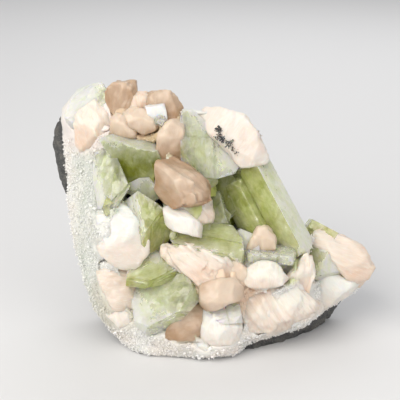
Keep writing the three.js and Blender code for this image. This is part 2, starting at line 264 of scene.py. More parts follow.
def lumps(points, size, octaves=3, seed=0):
    """Smooth noise from about -1 to 1, with features about `size` millimetres across."""
    grid = points / size
    total = np.zeros(len(points))
    for octave in range(octaves):
        corner = np.floor(grid).astype(np.int64)
        share = grid - corner
        share = share * share * (3 - 2 * share)
        for step in itertools.product((0, 1), repeat=3):
            weight = np.prod(np.where(step, share, 1 - share), axis=1)
            total += weight * (2 * scattered(corner + step, seed + 101 * octave) - 1) / 2 ** octave
        grid = grid * 2 + 17.3
    return total


def cells(points, size, seed=0):
    """Splits space into uneven cells: how far each point is from its cell's middle and from the next one's,
    both in cell sizes, and a number from 0 to 1 for its cell."""
    grid = points / size
    corner = np.floor(grid).astype(np.int64)
    nearest = np.full(len(points), 9.0)
    second = nearest.copy()
    share = np.zeros(len(points))
    for step in itertools.product((-1, 0, 1), repeat=3):
        cell = corner + step
        jitter = np.stack([scattered(cell, seed + k) for k in (0, 37, 59)], 1)
        far = np.linalg.norm(cell + jitter - grid, axis=1)
        closer = far < nearest
        second = np.where(closer, nearest, np.minimum(second, far))
        nearest = np.where(closer, far, nearest)
        share = np.where(closer, jitter[:, 0], share)
    return nearest, second, share


def finish_piece(piece, slot, *nodes, material=None, grown=None, sharp=180):
    """Gives the piece its material, shading, body and slot. `grown` holds the places that the material's
    grain follows. Edges that turn by more than `sharp` degrees stay hard, and at 0 nothing is smooth."""
    store(piece, "grown", places(piece)[0] @ SLAB.T if grown is None else grown)
    if sharp:
        piece.data.shade_smooth()
        if sharp < 180:
            piece.data.set_sharp_from_angle(angle=math.radians(sharp))
    piece.data.materials.clear()
    piece.data.materials.append(MATERIALS[material or slot])
    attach(piece, "root")
    if nodes:
        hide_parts(*nodes)
    return piece


# ---------------------------------------------------------------- material tools
class Shader:
    """A material's nodes, built one call at a time."""

    def __init__(self, name):
        self.material = bpy.data.materials.new(name)
        self.material.use_nodes = True
        self.tree = self.material.node_tree
        self.tree.nodes.clear()
        self.output = self.tree.nodes.new("ShaderNodeOutputMaterial")

    def node(self, kind, inputs=None, **settings):
        made = self.tree.nodes.new("ShaderNode" + kind)
        for key, value in settings.items():
            setattr(made, key, value)
        for key, value in (inputs or {}).items():
            self.feed(made.inputs[key], value)
        return made

    def feed(self, socket, value):
        if isinstance(value, bpy.types.NodeSocket):
            self.tree.links.new(value, socket)
        else:
            socket.default_value = (*value, 1) if socket.type == "RGBA" else value

    def mapped(self, *stretch):
        """Texture places in millimetres along the way the piece grew, times a stretch for each direction."""
        source = self.node("Attribute", attribute_name="grown").outputs["Vector"]
        return self.node("Mapping", {"Vector": source, "Scale": stretch or (1, 1, 1)}).outputs[0]

    def stored(self, name):
        return self.node("Attribute", attribute_name=name).outputs["Fac"]

    def noise(self, vector, scale, detail=3.0, roughness=0.55, distortion=0.0):
        return self.node("TexNoise", {
            "Vector": vector, "Scale": scale, "Detail": detail, "Roughness": roughness,
            "Distortion": distortion,
        }).outputs["Fac"]

    def cells(self, vector, scale):
        """Cells of a size, and a number from 0 to 1 that is each one's own."""
        made = self.node("TexVoronoi", {"Vector": vector, "Scale": scale})
        return made, self.node("SeparateColor", {"Color": made.outputs["Color"]}).outputs[0]

    def vector(self, operation, a, b, result="Vector"):
        return self.node("VectorMath", {0: a, 1: b}, operation=operation).outputs[result]

    def facets(self, vector, scale):
        """A height in millimetres, a tilted plane in each cell, and a number from 0 to 1 for the cell."""
        made, own = self.cells(vector, scale)
        away = self.vector("SUBTRACT", vector, made.outputs["Position"])
        lean = self.vector("SUBTRACT", made.outputs["Color"], (0.5, 0.5, 0.5))
        return self.vector("DOT_PRODUCT", away, lean, "Value"), own

    def ramp(self, value, low, high):
        """0 below low and 1 above high."""
        inputs = {"Value": value, "From Min": low, "From Max": high}
        return self.node("MapRange", inputs, clamp=True).outputs[0]

    def between(self, value, start, end):
        return self.node("MapRange", {"Value": value, "To Min": start, "To Max": end}, clamp=True).outputs[0]

    def maths(self, operation, a, b, clamp=True):
        return self.node("Math", {0: a, 1: b}, operation=operation, use_clamp=clamp).outputs[0]

    def times(self, a, b):
        return self.maths("MULTIPLY", a, b)

    def weighed(self, *terms):
        """The sum of values, each given with its weight, kept between 0 and 1."""
        parts = [self.times(value, weight) for value, weight in terms]
        return functools.reduce(lambda a, b: self.maths("ADD", a, b), parts)

    def mix(self, share, a, b):
        return self.node("Mix", {0: share, 6: a, 7: b}, data_type="RGBA").outputs[2]

    def bumps(self, *layers):
        """The surface's normal over layers of bumps, each (height, strength, distance in millimetres)."""
        normal = None
        for height, strength, distance in layers:
            made = self.node("Bump", {"Height": height, "Strength": strength, "Distance": distance * MM})
            if normal is not None:
                self.feed(made.inputs["Normal"], normal)
            normal = made.outputs["Normal"]
        return normal

    def zone(self, place, middle, reach):
        """1 near a place on the bed, given as (across, up), and 0 past its reach, with an uneven edge."""
        flat = self.vector("MULTIPLY", place, (1, 1, 0))
        away = self.vector("DISTANCE", flat, (*middle, 0), "Value")
        uneven = self.maths("MULTIPLY", self.noise(place, 0.25, 3), 0.5 * reach, clamp=False)
        return self.ramp(self.maths("SUBTRACT", away, uneven, clamp=False), 0.9 * reach, 0.55 * reach)

    def absorb(self, colour, density):
        made = self.node("VolumeAbsorption", {"Color": colour, "Density": density})
        self.tree.links.new(made.outputs[0], self.output.inputs["Volume"])

    def principled(self, inputs):
        """Ends the material with its surface."""
        made = self.node("BsdfPrincipled", inputs)
        self.tree.links.new(made.outputs[0], self.output.inputs["Surface"])
        return self.material


# ---------------------------------------------------------------- materials
def apophyllite_material(name, green, absorbed, density, clear):
    """Green crystal: clear inside, and milky where its stored frost says so. That frost also holds painted
    highlights along the edges and painted light on some faces.
    """
    s = Shader(name)
    place = s.mapped()
    patches = s.noise(place, 0.14, 3, 0.6, 0.5)
    streaks = s.noise(s.mapped(1.6, 1.6, 0.12), 1.0, 4, 0.65)
    steps = s.noise(s.mapped(0.2, 0.2, 0.9), 1.0, 3, 0.6)
    height, own = s.facets(s.mapped(1, 1, 0.6), 0.28)
    chips, small = s.facets(s.mapped(1, 1, 0.5), 0.75)
    wisps = s.noise(s.mapped(1, 0.6, 0.4), 0.6, 5, 0.7, 0.3)
    clouds = s.weighed((patches, 0.6), (streaks, 0.15), (own, 0.1), (wisps, 0.25))
    mask = s.ramp(s.weighed((clouds, 0.8), (s.stored("frost"), 0.6)), 0.38, 0.84)
    depths = s.weighed((s.noise(place, 0.22, 3, 0.6), 0.5), (small, 0.4))
    deep = [c * k for c, k in zip(green, (0.82, 0.85, 0.55))]
    dim, frosted = (
        [share * c + (1 - share) * w for c, w in zip(green, white)]
        for share, white in ((0.25, (0.86, 0.9, 0.8)), (0.12, (0.98, 0.98, 0.94)))
    )
    glints = s.ramp(s.noise(s.mapped(1, 1, 0.45), 0.8, 5, 0.75, 0.4), 0.4, 0.56)
    s.absorb(absorbed, density)
    return s.principled({
        "Base Color": s.mix(mask, s.mix(s.ramp(depths, 0.2, 0.68), deep, green), s.mix(glints, dim, frosted)),
        "Roughness": s.between(mask, 0.04, 0.36),
        "IOR": 1.535,
        "Transmission Weight": s.between(mask, clear, 0.4),
        "Subsurface Weight": 0.85,
        "Subsurface Radius": (0.9, 1.0, 0.5),
        "Subsurface Scale": 4 * MM,
        "Normal": s.bumps((streaks, 0.15, 0.2), (steps, 0.2, 0.5), (height, 0.3, 1.0), (chips, 0.22, 1.0)),
    })


def stilbite_material(name, tip, root, clear=0.15, ribbed=1.0):
    """Pearly crystal with fine ribs, lit a little from inside, and darker towards its root: partly its own
    deeper colour, partly painted shade where it meets the crust.
    """
    s = Shader(name)
    place = s.mapped()
    ribs = s.noise(s.mapped(2.4, 0.5, 0.08), 1.0, 4, 0.6)
    share = s.weighed((s.stored("height"), 0.75), (s.noise(place, 0.12, 3, 0.55), 0.8))
    # the root colour near the crust is partly the sheaf's own deeper colour and partly painted shade
    colour = s.mix(s.ramp(share, 0.25, 1.0), root, tip)
    colour = s.mix(s.times(s.ramp(ribs, 0.5, 0.68), 0.5 * ribbed), colour, [0.8 * c + 0.2 for c in tip])
    colour = s.mix(s.times(s.ramp(ribs, 0.47, 0.33), 0.3 * ribbed), colour, root)
    return s.principled({
        "Base Color": colour,
        "Roughness": s.between(s.noise(place, 0.5, 3, 0.6), 0.25, 0.5),
        "IOR": 1.5,
        "Transmission Weight": clear,
        "Subsurface Weight": 0.75,
        "Subsurface Radius": (1.0, 0.8, 0.62),
        "Subsurface Scale": 2.5 * MM,
        "Coat Weight": 0.15,
        "Coat Roughness": 0.2,
        "Normal": s.bumps((ribs, 0.3 + 0.4 * ribbed, 0.4), (s.noise(place, 1.9, 5, 0.7), 0.35, 0.35)),
    })


# Where the bed takes the colour of what grows on it: a place as (across, up), its reach, and the colour.
BED_ZONES = [
    ((-32, 100), 17, (0.72, 0.53, 0.36)),
    ((-20, 88), 13, (0.66, 0.5, 0.3)),
    ((8, 66), 22, (0.42, 0.45, 0.12)),
    ((10, 44), 20, (0.66, 0.7, 0.3)),
    ((-32, 66), 20, (0.84, 0.87, 0.7)),
    ((6, 22), 16, (0.86, 0.66, 0.5)),
    ((-12, 8), 12, (0.6, 0.52, 0.32)),
    ((-46, 14), 14, (0.66, 0.63, 0.54)),
    ((-60, 96), 14, (0.88, 0.8, 0.76)),
    ((34, 30), 8, (0.74, 0.78, 0.46)),
]


# the flank's grey-green is partly the crust's own mottling and partly painted shade
FLANK_EDGES = ((-51, -56), (-69, -64))  # between which places across the left flank turns grey-green


def druse_material(name, light, shade, sparkle):
    """White crust of tiny crystals: mottled grey-green and greyed with painted shade on the flank, and peach
    along the low right rim.
    """
    s = Shader(name)
    place = s.mapped()
    across = s.node("SeparateXYZ", {"Vector": place}).outputs["X"]
    broad = s.noise(s.mapped(1, 0.35, 1), 0.11, 4, 0.6)
    speckle = s.noise(s.mapped(1, 0.5, 1), 1.3, 5, 0.75)
    flank = s.times(*(s.ramp(across, *edge) for edge in FLANK_EDGES))
    mottle = s.ramp(s.weighed((broad, 0.6), (speckle, 0.4)), 0.42, 0.62)
    warm = s.ramp(s.noise(place, 0.08, 3, 0.55), 0.45, 0.62)
    warm = s.times(warm, s.between(s.ramp(across, -20, 30), 0.35, 0.8))
    colour = s.mix(warm, light, (0.88, 0.77, 0.68))
    # painted shade: the flank is greyed as if it got less light
    colour = s.mix(s.times(flank, 0.6), colour, (0.7, 0.72, 0.67))
    for middle, reach, tone in BED_ZONES:
        colour = s.mix(s.zone(place, middle, reach), colour, tone)
    return s.principled({
        # grey-green mottles on the flank: partly the crust's own colour, partly painted shade
        "Base Color": s.mix(s.times(mottle, s.between(flank, 0.2, 0.85)), colour, shade),
        "Roughness": s.between(speckle, sparkle, 0.75),
        "Subsurface Weight": 0.5,
        "Subsurface Radius": (1.0, 1.0, 0.85),
        "Subsurface Scale": 2 * MM,
        "Normal": s.bumps((s.noise(place, 1.8, 4, 0.7), 0.35, 0.4)),
    })


def root_material(name, dim, bright):
    """The broken-looking, cloudy inside of a crystal, from which most of its light comes back."""
    s = Shader(name)
    place = s.mapped()
    edges, own = s.cells(place, 0.3)
    cloud = s.weighed((s.noise(place, 0.22, 6, 0.7), 0.7), (own, 0.3))
    return s.principled({
        "Base Color": s.mix(s.ramp(cloud, 0.34, 0.62), dim, bright),
        "Roughness": 0.45,
        "Subsurface Weight": 0.6,
        "Subsurface Radius": (0.9, 1.0, 0.6),
        "Subsurface Scale": 3 * MM,
        "Normal": s.bumps((s.noise(place, 1.2, 4, 0.65), 0.5, 0.5), (edges.outputs["Distance"], 0.7, 1.2)),
    })


def basalt_material(name):
    """Dark grey rock with dusty blotches and paler grains."""
    s = Shader(name)
    place = s.mapped()
    grain = s.noise(place, 1.4, 6, 0.75)
    colour = s.mix(s.noise(place, 0.09, 4, 0.6), (0.03, 0.03, 0.032), (0.1, 0.1, 0.098))
    colour = s.mix(s.ramp(s.noise(place, 0.16, 5, 0.65), 0.5, 0.66), colour, (0.15, 0.14, 0.125))
    return s.principled({
        "Base Color": s.mix(s.ramp(grain, 0.52, 0.7), colour, (0.3, 0.3, 0.28)),
        "Roughness": s.between(grain, 0.55, 0.95),
        "Normal": s.bumps((grain, 0.8, 0.8)),
    })


MATERIALS = {name: make(name, *looks) for name, make, *looks in (
    ("apophyllite_pale", apophyllite_material, (0.93, 0.97, 0.7), (0.87, 0.94, 0.5), 12, 0.78),
    ("apophyllite_mid", apophyllite_material, (0.9, 0.94, 0.42), (0.85, 0.91, 0.24), 16, 0.78),
    ("apophyllite_olive", apophyllite_material, (0.56, 0.6, 0.1), (0.76, 0.8, 0.1), 40, 0.75),
    ("clear_grain", apophyllite_material, (0.95, 0.9, 0.86), (0.97, 0.96, 0.95), 10, 0.9),
    # each stilbite's second colour is its root's: partly its own deeper colour, partly painted shade near the
    # crust
    ("stilbite_peach", stilbite_material, (0.8, 0.66, 0.53), (0.42, 0.25, 0.13), 0.15, 0.15),
    ("stilbite_pink", stilbite_material, (0.93, 0.83, 0.74), (0.84, 0.64, 0.5)),
    ("stilbite_cream", stilbite_material, (0.95, 0.89, 0.81), (0.8, 0.65, 0.54)),
    ("stilbite_white", stilbite_material, (0.94, 0.92, 0.87), (0.89, 0.77, 0.68)),
    ("white_crystal", stilbite_material, (0.97, 0.97, 0.94), (0.93, 0.92, 0.88), 0.1),
    ("druse", druse_material, (0.78, 0.77, 0.74), (0.5, 0.54, 0.48), 0.4),
    ("basalt", basalt_material),
    ("grain_white", druse_material, (0.96, 0.95, 0.92), (0.88, 0.88, 0.82), 0.2),
    ("grain_grey", druse_material, (0.66, 0.68, 0.6), (0.55, 0.6, 0.5), 0.3),
    ("milky_root", root_material, (0.75, 0.82, 0.42), (0.97, 0.98, 0.88)),
    ("veil", root_material, (0.9, 0.94, 0.75), (0.98, 0.99, 0.94)),
)}
SLOT_OF = {s["node"]: s["material_slot"] for s in frame["record"]["subparts"]}


# ---------------------------------------------------------------- apophyllites
def crystal_axes(planes):
    """The crystal's two widths and its c axis, as rows: its pyramid faces lean furthest from c."""
    axes = [planes[0, :3]]
    for p in planes:
        if all(abs(p[:3] @ a) < 0.05 for a in axes) and len(axes) < 3:
            axes.append(p[:3])
    while len(axes) < 3:
        axes.append(unit(np.cross(axes[0], axes[1] if len(axes) > 1 else UP)))
    lean = np.array([np.abs(planes[:, :3] @ a) for a in axes])
    pyramid = (lean > 0.3).all(0) & (lean < 0.8).all(0)
    steepest = lean[:, pyramid].mean(1) if pyramid.any() else np.array([1, 1, 0])
    return np.stack([axes[i] for i in np.argsort(-steepest)])


def growth_blocks(planes, name, count):
    """Copies of the crystal grown a little past one face and short of the faces beside it, as terraces."""
    rng = dice(name)
    points = corners(planes)
    extent = np.array([np.ptp(points @ p[:3]) for p in planes])
    flat = [i for i in range(len(planes)) if np.sum(np.abs(planes[:, :3] @ planes[i, :3]) < 0.05) >= 4]
    blocks = []
    for _ in range(count):
        face = rng.choice(flat)
        change = -rng.uniform(0.0, 0.06, len(planes)) * extent
        for i in flat:
            if abs(planes[i, :3] @ planes[face, :3]) < 0.3 and rng.random() < 0.6:
                change[i] = -rng.uniform(0.05, 0.5) * extent[i]
        change[face] = rng.uniform(0.3, 1.3)
        blocks.append(moved_out(planes, change))
    return blocks


def broken_corners(planes, name, count):
    """A few more planes that take small pieces off the crystal's corners."""
    rng = dice(name + " corners")
    points = corners(planes)
    middle = points.mean(0)
    cuts = []
    for point in points[rng.permutation(len(points))[:count]]:
        normal = unit(unit(point - middle) + rng.uniform(-0.4, 0.4, 3))
        cuts.append([*normal, (points @ normal).max() - rng.uniform(0.4, 1.8)])
    return np.vstack([planes, cuts])


def union(piece, other):
    modify(piece, ("BOOLEAN", {"operation": "UNION", "solver": "MANIFOLD", "object": other}))
    bpy.data.objects.remove(other)


def weld(piece):
    with edited(piece) as work:
        bmesh.ops.remove_doubles(work, verts=work.verts, dist=0.02 * MM)
        bmesh.ops.dissolve_limit(work, angle_limit=math.radians(0.6), verts=work.verts, edges=work.edges)
        bmesh.ops.recalc_face_normals(work, faces=work.faces)


def bevel(piece, width):
    modify(piece, ("BEVEL", {
        "width": width * MM, "segments": 2, "limit_method": "ANGLE", "angle_limit": math.radians(20),
        "harden_normals": False,
    }))


def divide_long_edges(piece, longest):
    """Cuts the faces into triangles with no edge much over `longest` millimetres."""
    with edited(piece) as work:
        bmesh.ops.triangulate(work, faces=work.faces)
        for _ in range(8):
            long = [e for e in work.edges if e.calc_length() > longest * MM]
            if not long:
                break
            bmesh.ops.subdivide_edges(work, edges=long, cuts=1)
            bmesh.ops.triangulate(work, faces=[f for f in work.faces if len(f.verts) > 3])


# Which way each crystal's frosted faces look, as (across, up, out), how frosted they and the rest of it are,
# and the direction that the whole crystal gets milkier in. On long_prism and left_upper_block that face is
# partly painted light, paler because the light falls on it.
PLAIN_FROST = ((0, 0, 1), 0.1, 0.0, (0, 0, 0.2))
FROST_AND_LIT_FACES = {
    # painted light: the paler right face stands partly for the light falling on it
    "long_prism": ((0.674, 0.357, 0.643), 0.55, 0.12, (0.45, 0.1, 0)),
    "upper_block": ((0.22, 0.18, 0.95), 0.45, 0.25, (0.5, 0.4, 0)),
    # painted light: the paler top face stands partly for the light falling on it
    "left_upper_block": ((0.19, 0.865, 0.46), 0.75, 0.05, (0, 0.75, 0)),
    "left_mottled": ((-0.45, 0.2, 0.86), 0.2, 0.1, (-0.45, -0.25, 0)),
    "left_ledge": ((0, 0.93, 0.37), 0.5, 0.35, (-0.3, 0.3, 0)),
    "left_middle": ((-0.75, -0.15, 0.64), 0.3, 0.0, (-0.7, 0.2, 0)),
    "left_wedge": ((-0.15, 0.6, 0.78), 0.35, 0.15, (0, 0.4, 0)),
    "lower_left_block": ((-0.44, 0.43, 0.79), 0.25, 0.1, (-0.3, -0.4, 0)),
    "corner_block": ((0, 0, 1), 0.7, 0.55, (-0.6, 0, 0)),
    "ball_window": ((0, 0, 1), 0.6, 0.5, (0, -0.3, 0)),
    "right_centre_block": ((0, 0.93, 0.36), 1.1, 1.0, (0, 0, 0.3)),
    "right_hollow": ((0, 0, 1), 0.65, 0.5, (0.3, -0.3, 0)),
    "centre_block": ((-0.2, 0.1, 0.95), 0.75, 0.6, (0, 0, 0.3)),
    "centre_shelf": ((0, 0.9, 0.35), 0.4, 0.3, (0, 0, 0)),
    "cavity_back": ((0, 0, 1), -0.1, -0.15, (0, 0, 0.1)),
    "right_rear_point": ((0, 0, 1), -0.1, -0.2, (0, 0, 0.1)),
    "cavity_left": ((0, 0, 1), 0.1, -0.1, (0, 0, 0.1)),
    "cavity_right": ((0, 0, 1), -0.1, -0.2, (0, 0, 0.1)),
    "cavity_chip": ((0, 0, 1), -0.1, -0.2, (0, 0, 0.1)),
}


def store_frost(piece, name, planes):
    """0 where a crystal is clear and 1 where it is milky, as the frost table says; its edges are milkier too,
    partly as painted highlight.
    """
    direction, most, least, growing = FROST_AND_LIT_FACES.get(name, PLAIN_FROST)
    points, normals = places(piece)
    facing = clamped((normals @ slab_direction(*direction) - 0.7) / 0.25)
    local = points @ SLAB.T
    middle, half = (local.max(0) + local.min(0)) / 2, np.ptp(local, axis=0) / 2
    depth = np.sort(planes[:, 3] - points @ planes[:, :3].T, axis=1)[:, 1]
    # painted highlight along the edges, partly real frost
    edges = 0.5 * np.exp(-np.maximum(depth, 0) / 0.6) * (0.5 + 0.7 * lumps(points, 2.5, 3, 6))
    values = least + (most - least) * facing + ((local - middle) / half) @ np.array(growing) + edges
    store(piece, "frost", np.clip(values, -0.3, 1))


# Each crystal's outline on the bed, where its neighbours begin: how far across and up its corners are, in mm.
OUTLINES = {
    "spire": [-50, 113, -43.5, 117, -39, 118, -37.5, 117.5, -36.5, 112, -38.5, 104, -42, 101.5, -45, 100.5,
        -47.5, 103.5, -50, 108.5],
    "spire_foot": [-47, 92.5, -46.5, 99, -44.5, 101.5, -41, 101, -38, 97.5, -35, 93.5, -35.5, 90.5, -46.5,
        90],
    "top_shoulder": [-41.5, 102, -38, 104, -32, 103.5, -28.5, 101.5, -26, 99, -25.5, 95.5, -28.5, 93.5, -33.5,
        92, -38, 94.5],
    "top_pink": [-38, 110.5, -35.5, 111.5, -31.5, 111, -30, 106, -31, 103.5, -36.5, 102.5, -39, 105],
    "top_arc": [-31, 110, -27.5, 112, -23.5, 110.5, -19.5, 110.5, -16.5, 107.5, -15, 103.5, -15, 98.5, -21,
        98, -27, 102.5, -31, 104.5],
    "peach_arc": [-25.5, 92.5, -22.5, 96.5, -18.5, 98.5, -14.5, 99, -14.5, 77.5, -19, 79, -23, 80, -26, 83.5],
    "centre_blade": [-25, 79.5, -20.5, 80.5, -15, 78, -8.5, 74.5, -4, 71, -1.5, 66, -1, 61.5, -8, 59.5, -16,
        57, -21.5, 59, -26, 65.5],
    "centre_cream": [-16, 56.5, -10, 61.5, -5, 61.5, -1, 61, -1, 56, -1.5, 52, -6, 50.5, -11.5, 52],
    "white_lens": [-22.5, 56.5, -19, 57.5, -15, 56.5, -9.5, 53, -6, 49.5, -6, 45, -11.5, 46, -18, 47.5, -21.5,
        51],
    "upper_left_mass": [-66, 98.5, -62.5, 104, -56, 108, -52, 107.5, -48.5, 104, -46, 99.5, -47, 92.5, -52,
        88.5, -54.5, 83.5, -61, 80.5, -65, 87],
    "left_white": [-58, 56, -52, 60.5, -44.5, 59.5, -38.5, 55.5, -33.5, 50.5, -30, 46, -30, 37.5, -34.5, 32,
        -38.5, 29, -46, 31, -53, 36, -58, 46],
    "centre_fan": [-21, 39.5, -12.5, 40.5, -4.5, 39.5, 1, 37.5, 6, 34, 9.5, 30, 11, 25, 9, 20, -2, 17.5, -9,
        22.5, -14.5, 30],
    "centre_fan_left": [-23, 40, -15.5, 40, -9, 34.5, -7.5, 27.5, -12.5, 27.5, -18.5, 31.5, -23, 35.5],
    "centre_fan_foot": [-6, 22, -1.5, 24.5, 10, 25, 13.5, 21, 12, 17, 7.5, 15, 0.5, 15, -4, 11.5, -6, 14],
    "small_peach_blade": [7, 32.5, 11, 34, 14.5, 31, 17, 27, 16, 22, 13, 19.5, 10.5, 22.5, 8, 27],
    "front_sheaf": [11.5, 13, 15.5, 23, 22.5, 26.5, 34, 25.5, 42, 18.5, 49.5, 12, 47.5, 7.5, 40, 1, 25.5,
        -0.5, 16.5, -0.5, 12.5, 5.5],
    "front_cap": [14.5, 27, 16.5, 30.5, 22, 33, 28, 32, 31.5, 28.5, 34, 24.5, 28.5, 21.5, 20.5, 21, 15.5, 23],
    "right_ribbed": [33.5, 25.5, 39.5, 33, 42.5, 36, 45.5, 35.5, 46.5, 26.5, 46, 16, 43.5, 13.5, 38.5, 15.5],
    "right_white": [47, 25, 51.5, 24, 63.5, 24, 69.5, 20.5, 66, 16.5, 56, 12, 52.5, 9.5, 49, 12, 47, 18],
    "right_tip": [49, 45.5, 52.5, 47, 58.5, 45, 65.5, 42.5, 72.5, 38.5, 75.5, 33, 77, 29, 74, 24.5, 70, 19.5,
        65.5, 23.5, 59.5, 31.5, 53.5, 36.5, 49, 39.5],
    "white_ball": [-6, 10.5, -3, 12, 4.5, 7.5, 12.5, 6.5, 16.5, 1.5, 14.5, -2.5, 8.5, -5, 0.5, -6, -5, -2.5,
        -6.5, 4],
    "brown_foot": [-16, 9.5, -11.5, 15, -6, 14, -5.5, 7, -6, 1, -11, -3, -18, -4, -22, -1.5, -20, 5],
    "lower_left": [-53, 34, -47.5, 37.5, -41.5, 32.5, -38, 29.5, -38, 21, -36.5, 13.5, -43, 8.5, -49, 12.5,
        -52, 19, -53.5, 27.5],
    "corner_wedge": [-51.5, 12, -45, 10, -39.5, 10.5, -36, 7.5, -38.5, 2, -46, 3, -50.5, 7.5],
    "foot_bud": [-9, -3.5, -5, -0.5, -1, -3, 2.5, -7, -2.5, -9.5, -7.5, -8],
    "upper_right": [-11, 104, 2, 103.7, 14, 100, 19.5, 94, 23.5, 86, 25, 80, 19.5, 77.5, 13, 77, 7, 84, 0,
        91.5, -5, 96.5],
    "small_triangle": [15.5, 39, 21, 48.5, 24.5, 49, 27.5, 45.5, 29, 39],
    "corner_block": [-71, 101.5, -67.5, 109.5, -62, 113.5, -56.5, 117, -53, 117.5, -50.5, 113.5, -48.5, 107,
        -51.5, 105, -57.5, 103, -63.5, 99, -69, 94.5],
    "upper_block": [-15.5, 99.5, -14.5, 103.5, -10, 103.5, -4, 98.5, 2.5, 93, 8, 87, 12, 81, 12.5, 77.5, 10,
        73.5, -3.5, 69.5, -9, 73.5, -15, 77.5],
    "left_upper_block": [-53.5, 89.5, -46.5, 92.5, -29, 93, -22.5, 76, -22.5, 69.5, -40, 68.5, -49, 82],
    "left_mottled": [-56.5, 84, -46.5, 85, -38.5, 67, -44.5, 58, -53.5, 57, -56.5, 70.5],
    "left_ledge": [-43, 67, -41, 68.5, -34.5, 71.5, -23.5, 72, -24, 66, -25, 62, -29.5, 59.5, -35.5, 62,
        -40.5, 64.5],
    "left_middle": [-43, 54.5, -41, 61, -35, 65.5, -27, 60.5, -22.5, 57, -18, 50, -21, 42, -29, 36.5, -40,
        47.5],
    "left_wedge": [-40, 28.5, -33, 36, -27.5, 40.5, -21, 39, -11, 29.5, -21, 22.5, -32, 20.5, -40.5, 21.5],
    "lower_left_block": [-38.5, 17.5, -31, 25, -13.5, 31.5, -4.5, 22.5, -7, 14.5, -19.5, 1, -29.5, -2.5,
        -36.5, 3],
    "cavity_back": [-3.5, 71, 8, 74.5, 12, 68.5, 14, 61.5, 15.5, 53, 9, 49, 0.5, 48, -2, 59],
    "cavity_left": [-2.5, 60, 4, 59, 8.5, 54.5, 6, 47, -0.5, 48, -2.5, 53.5],
    "centre_bar": [-20, 43, -15.5, 47.5, -7.5, 49.5, 0.5, 51, 9, 49.5, 13.5, 43, 14.5, 32.5, 7.5, 32.5, 0,
        36.5, -6, 38.5, -17.5, 39.5],
    "centre_block": [6, 42.5, 12.5, 48, 21, 44.5, 21.5, 35, 19.5, 27.5, 14.5, 28.5, 7.5, 32.5],
    "right_centre_block": [25, 34.5, 33.5, 36.5, 42, 36.5, 42, 30, 38, 24.5, 31, 24.5, 26, 30],
    "right_hollow": [45.5, 38.5, 53.5, 37.5, 59, 32.5, 65, 23, 51, 22, 47, 24],
    "right_rear_point": [44.5, 47.5, 48, 52, 60, 45.5, 53.5, 44, 51, 40, 48, 36, 46, 37.5],
    "ball_window": [-5, 10.5, 0, 15, 8, 15.5, 12, 13, 13.5, 5, 4, 4.5, -3.5, 8.5],
}


def walls(name):
    """Planes that stand on the edges of a piece's outline."""
    outline = np.array(OUTLINES.get(name, ())).reshape(-1, 2)
    planes = []
    for edge, start in zip(np.roll(outline, -1, 0) - outline, outline):
        normal = unit(np.array([-edge[1], edge[0]]))
        normal *= np.sign(normal @ (start - outline.mean(0)))
        planes.append([*(normal[0] * ACROSS + normal[1] * UP), (outline @ normal).max()])
    return np.array(planes).reshape(-1, 4)


SWELL = 4.0  # how far crystals with an outline reach past the CAD's bodies, and up to it
PLAIN_SWELL = 0.9  # how far the others do
REACH = {  # and how far some reach where their outline is wider still
    "upper_left_mass": 8.0, "upper_right": 17.0, "left_white": 7.0, "left_mottled": 9.0, "left_middle": 8.0,
    "left_ledge": 6.0, "right_centre_block": 10.0, "centre_block": 6.0, "centre_fan": 9.0,
    "centre_fan_foot": 6.0, "small_peach_blade": 6.0, "centre_fan_left": 6.0, "corner_block": 5.0,
}


def swollen(node):
    """The node's planes moved out at its sides, to meet its neighbours."""
    planes = outer_planes(node)
    level = planes[:, :3] @ OUT
    further = max(0, REACH.get(bare(node), 0) - SWELL) * (1 - np.abs(level))
    swell = SWELL if bare(node) in OUTLINES else PLAIN_SWELL
    return moved_out(planes, swell * (1 - clamped(level)) + further)


BLOCK_PER = 3.5  # a crystal has one growth block for so many millimetres of its mean width


@functools.lru_cache(None)
def apophyllite_planes(node):
    return needed(np.vstack([swollen(node), walls(bare(node))]))


def apophyllite(node):
    name = bare(node)
    grown, outline = swollen(node), walls(name)
    axes = crystal_axes(outer_planes(node))
    size = np.cbrt(np.prod(np.ptp(corners(apophyllite_planes(node)) @ axes.T, axis=0)))
    if name == "long_prism":
        piece = new_object(name + "_crystal", *loose_triangles(node_triangles(node)))
    else:
        chipped = np.vstack([broken_corners(grown, node, 4), outline])
        piece = new_object(name + "_crystal", *solid_inside(chipped))
        for block in growth_blocks(grown, node, int(size / BLOCK_PER)):
            points, faces = solid_inside(np.vstack([block, outline]))
            if len(faces) > 3:
                union(piece, new_object("block", points, faces))
    weld(piece)
    bevel(piece, 0.2)
    divide_long_edges(piece, 2.0)
    points, normals = places(piece)
    points += normals * (0.05 * lumps(points, 3.0, 3, 4))[:, None]
    put_places(piece, points)
    store_frost(piece, name, apophyllite_planes(node))
    finish_piece(piece, SLOT_OF[node], node, grown=points @ axes.T, sharp=25)


def milky_roots(nodes):
    """The cloudy inside of each apophyllite, where it grew from the crust."""
    bodies = []
    for node in nodes:
        planes = apophyllite_planes(node)
        heights = corners(planes) @ OUT
        level = heights.min() + 0.7 * (np.percentile(heights, 90) - heights.min())
        bodies.append(solid_inside(np.vstack([moved_out(planes, -2.0), [*OUT, level]])))
    piece = new_object("milky_roots", *joined_bodies(whole(bodies)))
    remesh(piece, 0.8, 1)
    points, normals = places(piece)
    near, _, own = cells(points, 4.0, 11)
    points += normals * (1.6 * (own - 0.7) - 0.5 * near + 0.5 * lumps(points, 5.0, 3, 4))[:, None]
    put_places(piece, points)
    finish_piece(piece, "apophyllite_pale", material="milky_root")


